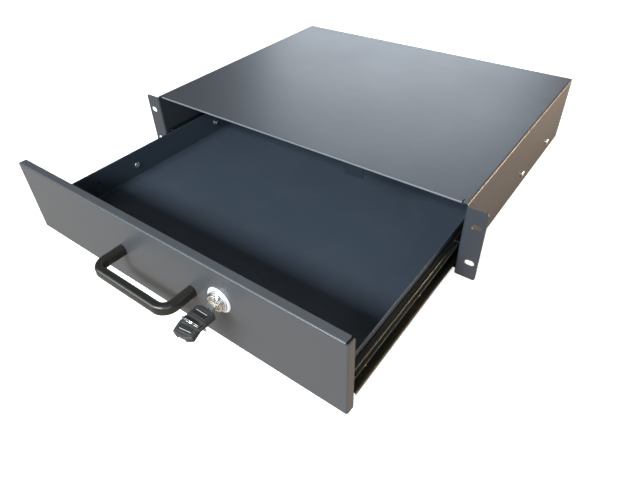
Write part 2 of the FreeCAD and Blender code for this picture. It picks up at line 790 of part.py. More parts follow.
def make_tray():
    """The tray's floor and side walls, folded up from one sheet."""
    body = drawer_body("tray")
    floor_front = f"({PANEL_INNER} + corner_gap)"
    sides = new_sketch(body, "XZ_Plane", f"-{floor_front}")
    outline(sides, [
        ("x", f"-{TRAY_OUTSIDE}"), ("y", "tray_wall_top"), ("x", f"-{TRAY_INSIDE}"), ("y", FLOOR_TOP),
        ("x", TRAY_INSIDE), ("y", "tray_wall_top"), ("x", TRAY_OUTSIDE), ("y", "tray_floor"),
    ], {2: "bend_radius", 3: "bend_radius", 6: "bend_radius + tray_sheet", 7: "bend_radius + tray_sheet"})
    pad(body, sides, "tray_depth - corner_gap", reverse=True)

    holes = new_sketch(body, "YZ_Plane")
    screw_holes(holes, [f"slide_front + {place}" for place in TRAY_SCREWS], "slide_rise")
    regular(holes, HOLE_SIDES, "spare_hole", "slide_front + spare_hole_back", "slide_rise + spare_hole_rise")
    pocket(body, holes, "case_width", both_ways=True)
    return body


def make_tray_end(label, face, top):
    """An end plate of the tray, welded in between the side walls and on the floor."""
    body = drawer_body(label)
    plate = new_sketch(body, "XZ_Plane", f"-{face}")
    block_outline(plate, f"-{TRAY_INSIDE}", TRAY_INSIDE, FLOOR_TOP, top, {2: "bend_radius", 3: "bend_radius"})
    pad(body, plate, "tray_sheet", reverse=True)
    return body


def make_tray_front():
    """The front plate, lower than the side walls, with holes for the panel's studs."""
    body = make_tray_end("tray_front", PANEL_INNER, "tray_wall_top - tray_front_step")
    studs = new_sketch(body, "XZ_Plane", f"-{PANEL_INNER}")
    for across in STUDS:
        regular(studs, HOLE_SIDES, "stud_diameter + screw_clearance", across, "slide_rise")
    pocket(body, studs, "4 * tray_sheet", both_ways=True)
    return body


def make_front_panel():
    """The front: a plate with its four edges folded back, cut away at the corners."""
    body = drawer_body("front_panel")
    reach = "(panel_width / 2 - panel_corner)"
    fold_low = "(panel_bottom + panel_fold_rise)"

    folds = new_sketch(body, "YZ_Plane")
    outline(folds, [
        ("x", PANEL_FACE), ("y", "panel_top"), ("x", PANEL_BACK), ("y", "panel_top - panel_sheet"),
        ("x", PANEL_INNER), ("y", f"{fold_low} + panel_sheet"), ("x", PANEL_BACK), ("y", fold_low),
    ], {0: "bend_radius + panel_sheet", 3: "bend_radius", 4: "bend_radius", 7: "bend_radius + panel_sheet"})
    pad(body, folds, f"2 * {reach}", both_ways=True)

    wings = new_sketch(body, "XY_Plane", "panel_bottom")
    outline(wings, [
        ("x", "-panel_width / 2"), ("y", PANEL_BACK), ("x", "panel_sheet - panel_width / 2"),
        ("y", PANEL_INNER), ("x", "panel_width / 2 - panel_sheet"), ("y", PANEL_BACK),
        ("x", "panel_width / 2"), ("y", PANEL_FACE),
    ], {2: "bend_radius", 3: "bend_radius", 6: "bend_radius + panel_sheet", 7: "bend_radius + panel_sheet"})
    pad(body, wings, "panel_top - panel_bottom - bend_radius")

    ends = new_sketch(body, "YZ_Plane")
    outline(ends, [
        ("x", PANEL_FACE), ("y", "panel_top"), ("x", PANEL_BACK), ("y", "panel_top - panel_sheet"),
        ("x", PANEL_INNER), ("y", "panel_top - 3 * panel_sheet"),
    ], {0: "bend_radius + panel_sheet", 3: "bend_radius"})
    pad(body, ends, "panel_width - 2 * panel_sheet - 2 * bend_radius - 4 * corner_gap", both_ways=True)

    holes = new_sketch(body, "XZ_Plane", f"-{PANEL_INNER}")
    for side in (1, -1):
        regular(holes, HOLE_SIDES, "screw_diameter + screw_clearance", f"{side} * handle_pitch / 2",
                "handle_rise")
    circle(holes, "lock_across", "lock_rise", "barrel_diameter + barrel_clearance")
    pocket(body, holes, "3 * panel_sheet", both_ways=True)
    return body


def make_panel_studs():
    """Four threaded studs welded to the back of the front panel."""
    body = drawer_body("panel_studs", "0", PANEL_INNER, "slide_rise")
    studs = new_sketch(body, "XZ_Plane")
    for across in STUDS:
        regular(studs, SHANK_SIDES, f"stud_diameter * {SHANK_FLATS}", across)
    pad(body, studs, "stud_length", reverse=True)
    return body


def make_panel_nuts():
    """Four flanged nuts that clamp the tray's front plate to the panel's studs."""
    master = new_body("stud_nut")
    flange = new_sketch(master, "XY_Plane")
    regular(flange, HEAD_SIDES, "nut_flange")
    pad(master, flange, "nut_flange_height")
    hexagonal = new_sketch(master, "XY_Plane")
    regular(hexagonal, 6, "nut_across")
    pad(master, hexagonal, "nut_height")
    bore = new_sketch(master, "XY_Plane")
    regular(bore, HOLE_SIDES, "stud_diameter + screw_clearance")
    pocket(master, bore, "3 * nut_height", both_ways=True)
    backwards = Rotation(Vector(1, 0, 0), -90)
    places = []
    for across in STUDS:
        places.append((across, f"{PANEL_INNER} + tray_sheet - drawer_open",
                       "slide_rise - slot_rise", backwards))
    return linked_group("panel_nuts", master, places)


def eight_sided(sketch, across, width, height, corner):
    """A rectangle about a place on the sketch's first axis, its corners cut off at 45 degrees."""
    x, half, tall, cut = number(across), number(width) / 2, number(height) / 2, number(corner)
    points = []
    for right, up, first in ((1, 1, 0), (1, -1, 1), (-1, -1, 0), (-1, 1, 1)):
        level = Vector(x + right * (half - cut), up * tall, 0)
        upright = Vector(x + right * half, up * (tall - cut), 0)
        points.extend((upright, level) if first else (level, upright))
    names = []
    for index in range(8):
        names.append(sketch.addGeometry(Part.LineSegment(points[index], points[(index + 1) % 8]), False))
    for index in range(8):
        following = names[(index + 1) % 8]
        sketch.addConstraint(Sketcher.Constraint("Coincident", names[index], 2, following, 1))
    places = ((1, 1, 1, 0), (1, 1, 0, 1), (1, -1, 0, 1), (1, -1, 1, 0),
              (-1, -1, 1, 0), (-1, -1, 0, 1), (-1, 1, 0, 1), (-1, 1, 1, 0))
    for name, (right, up, short, low) in zip(names, places):
        centre_at(sketch, name, 1, f"{across} + {right} * ( {width} / 2 - {short} * {corner} )",
                  f"{up} * ( {height} / 2 - {low} * {corner} )")


def make_handle():
    """The bow handle: one section swept through two bends, with a tapped hole in each leg."""
    body = drawer_body("handle", "0", PANEL_FACE, "handle_rise")
    spine = new_sketch(body, "XY_Plane")
    half = number("handle_pitch") / 2
    reach = number("handle_reach - handle_thick / 2")
    bend = number("handle_bend")
    path = [
        Part.LineSegment(Vector(-half, 0, 0), Vector(-half, bend - reach, 0)),
        arc_between(Vector(bend - half, bend - reach, 0), bend, Vector(-half, bend - reach, 0),
                    Vector(bend - half, -reach, 0),
                    Vector(bend - half - bend / math.sqrt(2), bend - reach - bend / math.sqrt(2), 0))[0],
        Part.LineSegment(Vector(bend - half, -reach, 0), Vector(half - bend, -reach, 0)),
        arc_between(Vector(half - bend, bend - reach, 0), bend, Vector(half - bend, -reach, 0),
                    Vector(half, bend - reach, 0),
                    Vector(half - bend + bend / math.sqrt(2), bend - reach - bend / math.sqrt(2), 0))[0],
        Part.LineSegment(Vector(half, bend - reach, 0), Vector(half, 0, 0)),
    ]
    for piece in path:
        spine.addGeometry(piece, False)
    for line, kind in ((0, "Vertical"), (2, "Horizontal"), (4, "Vertical")):
        spine.addConstraint(Sketcher.Constraint(kind, line))
    for first, first_end, second, second_end in ((0, 2, 1, 1), (1, 2, 2, 1), (2, 2, 3, 1), (3, 2, 4, 1)):
        spine.addConstraint(Sketcher.Constraint("Tangent", first, first_end, second, second_end))
    centre_at(spine, 0, 1, "-handle_pitch / 2", "0")
    centre_at(spine, 4, 2, "handle_pitch / 2", "0")
    dimension(spine, "DistanceY", -1, 1, 2, 1, expression="handle_thick / 2 - handle_reach")
    dimension(spine, "Radius", 1, expression="handle_bend")
    dimension(spine, "Radius", 3, expression="handle_bend")

    section = new_sketch(body, "XZ_Plane")
    eight_sided(section, "-handle_pitch / 2", "handle_thick", "handle_tall", "handle_corner")
    sweep = body.newObject("PartDesign::AdditivePipe", "handle_sweep")
    sweep.Profile = section
    sweep.Spine = spine
    document.recompute()

    bores = new_sketch(body, "XZ_Plane")
    for side in (1, -1):
        regular(bores, HOLE_SIDES, "screw_diameter + screw_clearance", f"{side} * handle_pitch / 2")
    pocket(body, bores, "handle_bore_depth", reverse=True)
    return body


def make_handle_screws():
    """Two screws from behind the panel into the handle's legs."""
    master = make_pan_screw("handle_screw", "handle_screw_length")
    backwards = Rotation(Vector(1, 0, 0), -90)
    places = []
    for side in (1, -1):
        places.append((f"{side} * handle_pitch / 2", f"{PANEL_INNER} - drawer_open",
                       "handle_rise - slot_rise", backwards))
    return linked_group("handle_screws", master, places)


# Lock. Its pieces are drawn about its own axis, with the panel's face at zero.

def lock_piece(label):
    """A body on the lock's axis."""
    return drawer_body(label, "lock_across", PANEL_FACE, "lock_rise")


COLLAR_FRONT = "(bezel_height + collar_height + collar_step_height)"
BARREL_END = f"({CAM_FRONT} - {PANEL_FACE} - plug_shoulder_length - sheet_gap)"


def make_lock_body():
    """The lock's housing: a stepped collar in front and a threaded barrel with two flats."""
    body = lock_piece("lock_body")
    barrel = new_sketch(body, "XZ_Plane", "bezel_height")
    regular(barrel, LOCK_SIDES, "barrel_diameter")
    pad(body, barrel, f"{BARREL_END} + bezel_height", reverse=True)
    collar = new_sketch(body, "XZ_Plane", "bezel_height")
    regular(collar, LOCK_SIDES, "collar_diameter")
    pad(body, collar, "collar_height")
    step = new_sketch(body, "XZ_Plane", "bezel_height")
    regular(step, LOCK_SIDES, "collar_step_diameter")
    pad(body, step, "collar_height + collar_step_height")
    flats = new_sketch(body, "XZ_Plane", "-panel_sheet - sheet_gap")
    for side in (1, -1):
        block_outline(flats, f"{side} * barrel_flat / 2", f"{side} * barrel_diameter",
                      "-barrel_diameter", "barrel_diameter")
    pocket(body, flats, BARREL_END)
    bore = new_sketch(body, "XZ_Plane")
    regular(bore, LOCK_SIDES, "plug_diameter + 2 * plug_clearance")
    pocket(body, bore, f"4 * {BARREL_END}", both_ways=True)
    fillet(body, "collar_step_height / 4", lambda middle, length: (
        near(middle.y, f"-{COLLAR_FRONT}")
        and near(math.hypot(middle.x, middle.z), "collar_step_diameter / 2")), "PartDesign::Chamfer")
    return body


def make_lock_bezel():
    """The bright ring between the collar and the panel."""
    body = lock_piece("lock_bezel")
    ring = new_sketch(body, "XZ_Plane")
    regular(ring, LOCK_SIDES, "bezel_diameter")
    regular(ring, LOCK_SIDES, "barrel_diameter + 2 * barrel_clearance")
    pad(body, ring, "bezel_height")
    fillet(body, "bezel_height / 2", lambda middle, length: (
        near(middle.y, "-bezel_height") and near(math.hypot(middle.x, middle.z), "bezel_diameter / 2")),
        "PartDesign::Chamfer")
    return body


def make_lock_nut():
    """The thin nut that clamps the barrel from behind."""
    body = drawer_body("lock_nut", "lock_across", PANEL_INNER, "lock_rise")
    outside = new_sketch(body, "XZ_Plane")
    regular(outside, 6, "lock_nut_across")
    pad(body, outside, "lock_nut_height", reverse=True)
    bore = new_sketch(body, "XZ_Plane")
    regular(bore, LOCK_SIDES, "barrel_diameter + 2 * barrel_clearance")
    pocket(body, bore, "3 * lock_nut_height", both_ways=True)
    return body


def make_lock_plug():
    """The plug that turns with the key: keyway in front, square tail for the cam behind."""
    body = lock_piece("lock_plug")
    front = f"({COLLAR_FRONT} - plug_recess)"
    back = f"({CAM_FRONT} - {PANEL_FACE})"
    plug = new_sketch(body, "XZ_Plane", front)
    regular(plug, LOCK_SIDES, "plug_diameter")
    pad(body, plug, f"{front} + {back}", reverse=True)
    shoulder = new_sketch(body, "XZ_Plane", f"-{back}")
    regular(shoulder, LOCK_SIDES, "plug_shoulder")
    pad(body, shoulder, "plug_shoulder_length")
    tail = new_sketch(body, "XZ_Plane", f"-{back}")
    block_outline(tail, "-plug_tail / 2", "plug_tail / 2", "-plug_tail / 2", "plug_tail / 2")
    pad(body, tail, "cam_sheet", reverse=True)
    keyway = new_sketch(body, "XZ_Plane", front)
    block_outline(keyway, "-blade_width / 2 - keyway_clearance", "blade_width / 2 + keyway_clearance",
                  "-blade_thick / 2 - keyway_clearance", "blade_thick / 2 + keyway_clearance")
    pocket(body, keyway, f"blade_length - key_stand + {front} + bore_end_room")
    bore = new_sketch(body, "XZ_Plane", f"-{back} - cam_sheet")
    regular(bore, HOLE_SIDES, "screw_diameter + screw_clearance")
    pocket(body, bore, "cam_screw_length + bore_end_room", reverse=True)
    return body


def make_lock_cam():
    """The lever on the plug's tail. It lies level while the lock is open."""
    body = drawer_body("lock_cam", "lock_across", CAM_FRONT, "lock_rise")
    plate = new_sketch(body, "XZ_Plane")
    block_outline(plate, "-cam_width / 2", "cam_reach", "-cam_width / 2", "cam_width / 2",
                  {0: "cam_width / 3", 1: "cam_width / 4", 2: "cam_width / 4", 3: "cam_width / 3"})
    pad(body, plate, "cam_sheet", reverse=True)
    square = new_sketch(body, "XZ_Plane")
    half = "(plug_tail / 2 + sheet_gap / 2)"
    block_outline(square, f"-{half}", half, f"-{half}", half)
    pocket(body, square, "3 * cam_sheet", both_ways=True)
    return body


def make_cam_screw():
    """The screw that holds the cam on the plug."""
    master = make_pan_screw("cam_screw_blank", "cam_screw_length")
    return linked_group("cam_screw", master, [
        ("lock_across", f"{CAM_FRONT} + cam_sheet - drawer_open", "lock_rise - slot_rise",
         Rotation(Vector(1, 0, 0), -90))])


# Keys. They are drawn about the hinge pin, the blade pointing to the lock.

# Depths of the cuts along the blade's right edge, in mm. The left edge has what is left of the pair.
RIGHT_CUTS = (1.0, 1.6, 0.7, 1.3, 1.0)


def make_key_blade(label):
    """The flat blade with its bitting and the eye of its hinge below it."""
    body = new_body(label)
    strip = new_sketch(body, "YZ_Plane")
    block_outline(strip, "-key_eye_diameter / 2", "blade_length", "-blade_thick / 2", "blade_thick / 2")
    pad(body, strip, "blade_width", both_ways=True)
    root = new_sketch(body, "YZ_Plane")
    block_outline(root, "-key_eye_diameter / 2", "key_eye_diameter / 2", "-key_pin_drop", "0")
    pad(body, root, "blade_width", both_ways=True)
    eye = new_sketch(body, "YZ_Plane")
    circle(eye, "0", "-key_pin_drop", "key_eye_diameter")
    pad(body, eye, "blade_width", both_ways=True)
    bore = new_sketch(body, "YZ_Plane")
    circle(bore, "0", "-key_pin_drop", "key_pin_diameter + 2 * key_pin_clearance")
    pocket(body, bore, "2 * blade_width", both_ways=True)
    fillet(body, "blade_point", lambda middle, length: (
        near(middle.y, "blade_length") and near(length.z, "blade_thick")), "PartDesign::Chamfer")
    cuts = new_sketch(body, "XY_Plane")
    for count, depth in enumerate(RIGHT_CUTS):
        for side, cut in ((1, f"{depth}"), (-1, f"( cut_pair_depth - {depth} )")):
            along = f"blade_length - blade_point - first_cut - {count} * cut_pitch"
            block_outline(cuts, f"{side} * ( blade_width / 2 - {cut} )",
                          f"{side} * blade_width", f"{along} - cut_width / 2", f"{along} + cut_width / 2")
    pocket(body, cuts, "2 * blade_thick", both_ways=True)
    return body


def make_key_bow(label):
    """The moulded head: a thick block with an arched front, a finger recess and a thin end plate."""
    body = new_body(label)
    half = number("bow_width / 2")
    outside = new_sketch(body, "XY_Plane", "-bow_under")
    front, side_front, back = number("bow_front"), -number("bow_side_back"), -number("bow_back")
    corners = [Vector(-half, side_front, 0), Vector(half, side_front, 0), Vector(half, back, 0),
               Vector(-half, back, 0)]
    rise = front - side_front
    arch = (half ** 2 + rise ** 2) / (2 * rise)
    centre = Vector(0, front - arch, 0)
    arc = arc_between(centre, arch, corners[0], corners[1], Vector(0, front, 0))
    arc_index = outside.addGeometry(arc[0], False)
    for start, end in ((1, 2), (2, 3), (3, 0)):
        outside.addGeometry(Part.LineSegment(corners[start], corners[end]), False)
    outside.addConstraint(Sketcher.Constraint("Coincident", arc_index, arc[2], 1, 1))
    outside.addConstraint(Sketcher.Constraint("Coincident", 1, 2, 2, 1))
    outside.addConstraint(Sketcher.Constraint("Coincident", 2, 2, 3, 1))
    outside.addConstraint(Sketcher.Constraint("Coincident", 3, 2, arc_index, arc[1]))
    for line, kind in ((1, "Vertical"), (2, "Horizontal"), (3, "Vertical")):
        outside.addConstraint(Sketcher.Constraint(kind, line))
    centre_at(outside, 1, 1, "bow_width / 2", "-bow_side_back")
    centre_at(outside, 3, 1, "-bow_width / 2", "-bow_back")
    rise_text = "(bow_front + bow_side_back)"
    dimension(outside, "Radius", arc_index,
              expression=f"( bow_width * bow_width / 4 + {rise_text} * {rise_text} ) / ( 2 * {rise_text} )")
    outside.addConstraint(Sketcher.Constraint("PointOnObject", arc_index, 3, -2))
    pad(body, outside, "bow_under + bow_top")
    fillet(body, "bow_corner", lambda middle, length: (
        near(middle.y, "-bow_back") and near(length.z, "bow_under + bow_top")))

    step = new_sketch(body, "XY_Plane", "bow_top")
    block_outline(step, "-bow_width", "bow_width", "-2 * bow_back", "-bow_step")
    pocket(body, step, "bow_step_drop")
    fillet(body, "bow_edge", lambda middle, length: (
        near(middle.z, "bow_top") and length.z < 0.01), "PartDesign::Chamfer")

    recess = new_sketch(body, "XY_Plane", "bow_top")
    block_outline(recess, "-bow_recess_width / 2", "bow_recess_width / 2",
                  "-bow_recess_back", "-bow_recess_front")
    pocket(body, recess, "bow_recess_depth")

    hole = new_sketch(body, "XY_Plane")
    oblong(hole, "ring_hole_across", "-ring_hole_back", "ring_hole_length", "ring_hole_width")
    pocket(body, hole, "4 * bow_under", both_ways=True)

    slot = new_sketch(body, "XY_Plane", "blade_thick / 2 + key_slot_clearance")
    wide = "(blade_width / 2 + key_slot_clearance)"
    block_outline(slot, f"-{wide}", wide, "-key_eye_diameter / 2 - key_slot_clearance", "2 * bow_front")
    pocket(body, slot, "2 * bow_under")

    pin = new_sketch(body, "YZ_Plane")
    circle(pin, "0", "-key_pin_drop", "key_pin_diameter")
    pocket(body, pin, "key_pin_length", both_ways=True)
    return body


def make_key_pin(label):
    """The hinge pin, pressed into the head and free in the blade's eye."""
    body = new_body(label)
    rod = new_sketch(body, "YZ_Plane")
    circle(rod, "0", "-key_pin_drop", "key_pin_diameter")
    pad(body, rod, "key_pin_length", both_ways=True)
    return body


def key_ring_frame():
    """Centre of the key ring and its directions: up along its plane, and out of it."""
    lean = math.radians(size_of("ring_lean"))
    up = Vector(0, -math.sin(lean), math.cos(lean))
    out = Vector(0, -math.cos(lean), -math.sin(lean))
    half_chord = number("( bow_width / 2 + ring_side_stand + ring_hole_across + ring_hole_shift ) / 2")
    drop = math.sqrt(size_of("ring_radius") ** 2 - half_chord ** 2)
    plate_middle = number("( bow_top - bow_step_drop - bow_under ) / 2")
    hinge = Vector(number("lock_across"), number(f"{PANEL_FACE} - drawer_open - key_stand"),
                   number("lock_rise - slot_rise"))
    chord = hinge + Vector(number("-bow_width / 2 - ring_side_stand") + half_chord,
                           -size_of("ring_hole_back"), plate_middle)
    return chord - up * drop, up, out


def make_key_ring():
    """The ring of flat wire through both heads."""
    centre, up, out = key_ring_frame()
    body = new_body("key_ring")
    body.Placement = Placement(centre, Rotation(Vector(0, 0, 1), out))
    band = new_sketch(body, "XY_Plane")
    regular(band, RING_SIDES, "2 * ring_radius + ring_wire")
    regular(band, RING_SIDES, "2 * ring_radius - ring_wire")
    pad(body, band, "ring_wire", both_ways=True)
    return body


def place_keys(working, spare):
    """Put the key in the lock, and hang the folded spare on the ring."""
    for body in working:
        body.setExpression("Placement.Base.x", bound("lock_across"))
        body.setExpression("Placement.Base.y", bound(f"{PANEL_FACE} - drawer_open - key_stand"))
        body.setExpression("Placement.Base.z", bound("lock_rise - slot_rise"))
    centre, up, _ = key_ring_frame()
    angle = math.radians(size_of("spare_hang_angle"))
    radius = size_of("ring_radius")
    held = centre - Vector(radius * math.cos(angle), 0, 0) - up * (radius * math.sin(angle))
    turn = (Rotation(Vector(0, 0, 1), 180 + size_of("spare_yaw"))
            * Rotation(Vector(1, 0, 0), -size_of("spare_tilt")))
    plate_middle = number("( bow_top - bow_step_drop - bow_under ) / 2")
    hole = Vector(size_of("ring_hole_across"), -size_of("ring_hole_back"), plate_middle)
    base = held - turn.multVec(hole)
    head = Placement(base, turn)
    pin = Vector(0, 0, -size_of("key_pin_drop"))
    folded = Placement(pin, Rotation(Vector(1, 0, 0), -180)) * Placement(-pin, Rotation())
    blade, bow, rod = spare
    bow.Placement = head
    rod.Placement = head
    blade.Placement = head * folded


# Build every piece, in the order in which the product is put together

nodes = [make_case_shell(), make_back_panel(), make_lock_strike()]
ball = make_ball()
bumper = make_bumper()
for name, side in (("left", -1), ("right", 1)):
    nodes.append(make_case_rail(f"{name}_case_rail", side))
    nodes.append(make_drawer_rail(f"{name}_drawer_rail", side))
    nodes.append(make_ball_retainer(f"{name}_ball_retainer", side))
    nodes.append(make_balls(f"{name}_balls", side, ball))
bumper_back = "slide_front + drawer_rail_length + bumper_gap"
nodes.append(linked_group("slide_bumpers", bumper, [
    (f"{side} * {CASE_INSIDE}", bumper_back, "slide_rise - slot_rise", slide_place(side)[1])
    for side in (1, -1)]))
nodes.append(make_case_screws())
nodes.extend([make_tray(), make_tray_front()])
nodes.append(make_tray_end("tray_back", f"({TRAY_BACK} - tray_sheet)", "tray_wall_top"))
nodes.append(make_tray_screws())
nodes.append(make_front_panel())
nodes.append(make_panel_studs())
nodes.append(make_panel_nuts())
nodes.append(make_handle())
nodes.append(make_handle_screws())
nodes.extend([make_lock_body(), make_lock_bezel(), make_lock_nut(), make_lock_plug()])
nodes.extend([make_lock_cam(), make_cam_screw()])
working_key = [make_key_blade("key_blade"), make_key_bow("key_bow"), make_key_pin("key_pin")]
spare_key = [make_key_blade("spare_key_blade"), make_key_bow("spare_key_bow"), make_key_pin("spare_key_pin")]
place_keys(working_key, spare_key)
nodes.extend(working_key + [make_key_ring()] + spare_key)
document.recompute()

for item in document.Objects:
    if "Invalid" in item.State or "Error" in item.State:
        raise ValueError(f"{item.Label} failed: {item.State}")
os.makedirs("parts", exist_ok=True)
for node in nodes:
    if node.Shape.isNull() or not node.Shape.isValid() or not node.Shape.Solids:
        raise ValueError(f"{node.Label} has no valid shape")
    node.Shape.exportStep(f"parts/{node.Label}.step")
print(len(nodes), "pieces written")
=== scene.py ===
import math

import bpy
import numpy as np
from mathutils import Matrix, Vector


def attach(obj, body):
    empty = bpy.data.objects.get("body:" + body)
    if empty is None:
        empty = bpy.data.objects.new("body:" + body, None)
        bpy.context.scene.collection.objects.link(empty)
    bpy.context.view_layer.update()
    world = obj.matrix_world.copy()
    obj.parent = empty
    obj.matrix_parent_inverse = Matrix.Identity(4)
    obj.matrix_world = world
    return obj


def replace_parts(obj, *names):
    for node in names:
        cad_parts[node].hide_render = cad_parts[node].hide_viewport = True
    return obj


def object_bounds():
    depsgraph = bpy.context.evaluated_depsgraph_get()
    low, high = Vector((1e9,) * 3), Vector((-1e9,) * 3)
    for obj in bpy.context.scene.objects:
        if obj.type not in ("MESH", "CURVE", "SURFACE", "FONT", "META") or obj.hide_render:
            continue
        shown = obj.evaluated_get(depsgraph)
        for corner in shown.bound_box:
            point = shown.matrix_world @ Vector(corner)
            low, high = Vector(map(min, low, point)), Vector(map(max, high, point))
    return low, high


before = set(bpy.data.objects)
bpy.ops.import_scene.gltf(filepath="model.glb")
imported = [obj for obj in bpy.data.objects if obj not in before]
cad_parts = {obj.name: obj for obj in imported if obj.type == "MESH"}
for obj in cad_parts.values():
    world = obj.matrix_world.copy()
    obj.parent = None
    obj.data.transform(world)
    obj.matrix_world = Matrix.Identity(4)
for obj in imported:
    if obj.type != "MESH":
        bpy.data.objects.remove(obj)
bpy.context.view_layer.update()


# Studio. The camera stands where the photograph was taken, above the open drawer and to its
# right. The bench looks white, and is mirrored as brown wood. A window in front shades the tray
# behind the panel, one behind shows in the top, and softer lights fill from the sides.

def aimed(direction_back, roll):
    """Rotation whose third axis is direction_back, its second axis up, turned by roll about it."""
    back = np.array(direction_back) / np.linalg.norm(direction_back)
    right = np.cross(-back, (0.0, 0.0, 1.0))
    right /= np.linalg.norm(right)
    up = np.cross(right, -back)
    across = math.cos(roll) * right + math.sin(roll) * up
    upward = -math.sin(roll) * right + math.cos(roll) * up
    return np.stack([across, upward, back], axis=1)


def stand(thing, place, turn):
    """Put a camera or a light at a place with a rotation given as three columns."""
    pose = np.eye(4)
    pose[:3, :3] = turn
    pose[:3, 3] = place
    thing.matrix_world = Matrix(pose.tolist())


camera_azimuth = math.radians(37.84)
camera_height_angle = math.radians(38.86)
camera_roll = math.radians(-2.205)
camera_place = (0.3387, -0.3896, 0.3301)
lens = bpy.data.cameras.new("camera")
lens.sensor_width = 36.0
lens.lens = 28.70
lens.shift_x = 0.0105
lens.shift_y = -0.0185
lens.clip_start = 0.01
camera = bpy.data.objects.new("camera", lens)
bpy.context.scene.collection.objects.link(camera)
towards_camera = (math.sin(camera_azimuth) * math.cos(camera_height_angle),
                  -math.cos(camera_azimuth) * math.cos(camera_height_angle),
                  math.sin(camera_height_angle))
stand(camera, camera_place, aimed(towards_camera, camera_roll))
bpy.context.scene.camera = camera


def put(tree, kind, inputs=None, **settings):
    """Add a shader node. Each input gets a plain value, or a link from another node's socket."""
    made = tree.nodes.new(kind)
    for name, value in settings.items():
        setattr(made, name, value)
    for name, value in (inputs or {}).items():
        if isinstance(value, bpy.types.NodeSocket):
            tree.links.new(value, made.inputs[name])
        else:
            made.inputs[name].default_value = value
    return made


def ramp(tree, value, start, end, low=0.0, high=1.0):
    """A straight line from low at start to high at end, level beyond them."""
    line = put(tree, "ShaderNodeMapRange", {
        "Value": value, "From Min": start, "From Max": end, "To Min": low, "To Max": high})
    return line.outputs["Result"]


air_as_light, air_as_seen = 0.09, 0.85
world = bpy.data.worlds.new("studio air")
world.use_nodes = True
air = world.node_tree
seen = put(air, "ShaderNodeLightPath").outputs["Is Camera Ray"]
backdrop = ramp(air, seen, 0.0, 1.0, air_as_light, air_as_seen)
air.links.new(backdrop, air.nodes["Background"].inputs["Strength"])
air.nodes["Background"].inputs["Color"].default_value = (0.94, 0.97, 1.0, 1.0)
bpy.context.scene.world = world
bpy.context.scene.view_settings.view_transform = "Standard"

lights_face = (0.0, 0.05, 0.0)
for title, place, width, height, power, colour in (
        ("ceiling light", (-0.10, -0.35, 1.60), 1.6, 1.6, 2.0, (1.0, 0.99, 0.97)),
        ("front window", (-0.12, -2.30, 1.76), 2.0, 0.5, 142.0, (0.94, 0.97, 1.0)),
        ("back window", (-0.70, 1.62, 0.66), 1.25, 0.8, 15.0, (0.83, 0.91, 1.0)),
        ("left wall light", (-1.05, -1.45, 0.55), 0.9, 0.9, 14.0, (0.66, 0.92, 1.0)),
        ("right fill light", (1.50, -1.15, 0.80), 1.0, 1.0, 13.0, (0.74, 0.92, 1.0)),
        ("warm side light", (1.20, 0.90, 0.12), 1.2, 0.3, 32.0, (1.0, 0.73, 0.50))):
    lamp = bpy.data.lights.new(title, "AREA")
    lamp.shape = "RECTANGLE"
    lamp.size = width
    lamp.size_y = height
    lamp.energy = power
    lamp.color = colour
    light = bpy.data.objects.new(title, lamp)
    bpy.context.scene.collection.objects.link(light)
    stand(light, place, aimed(np.array(place) - lights_face, 0.0))


def reckon(tree, operation, *values):
    """One sum on numbers or sockets."""
    return put(tree, "ShaderNodeMath", dict(enumerate(values)), operation=operation).outputs[0]


def mixed(tree, share, first, second):
    """The first colour where share is nought, the second where it is one."""
    first, second = ((*tone, 1.0) if isinstance(tone, tuple) else tone for tone in (first, second))
    return put(tree, "ShaderNodeMix", {0: share, 6: first, 7: second}, data_type="RGBA").outputs[2]


def noise(tree, place, scale, detail, roughness=0.5):
    """Smooth noise between nought and one."""
    return put(tree, "ShaderNodeTexNoise", {
        "Vector": place, "Scale": scale, "Detail": detail, "Roughness": roughness}).outputs["Fac"]


def new_material(title):
    """An empty material and its node tree, with the object's own coordinates."""
    material = bpy.data.materials.new(title)
    material.use_nodes = True
    tree = material.node_tree
    tree.nodes.clear()
    return material, tree, put(tree, "ShaderNodeTexCoord").outputs["Object"]


def close_material(tree, inputs):
    """End a material's tree with one Principled shader."""
    shader = put(tree, "ShaderNodeBsdfPrincipled", inputs)
    put(tree, "ShaderNodeOutputMaterial", {"Surface": shader.outputs["BSDF"]})


floor_half = 20.0
floor_gap = 0.0002
floor_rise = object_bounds()[0][2] - floor_gap
wood_dark, wood_light = (0.37, 0.30, 0.24), (0.43, 0.35, 0.28)
paper_white, paper_glow = (0.97, 0.97, 0.97), (0.66, 0.66, 0.66)
case_middle, side_edge, end_edge = 0.170, (0.205, 0.220), (0.174, 0.182)
floor_mesh = bpy.data.meshes.new("floor")
floor_mesh.from_pydata([(-floor_half, -floor_half, floor_rise), (floor_half, -floor_half, floor_rise),
                        (floor_half, floor_half, floor_rise), (-floor_half, floor_half, floor_rise)],
                       [], [(0, 1, 2, 3)])
floor = bpy.data.objects.new("floor", floor_mesh)
bpy.context.scene.collection.objects.link(floor)
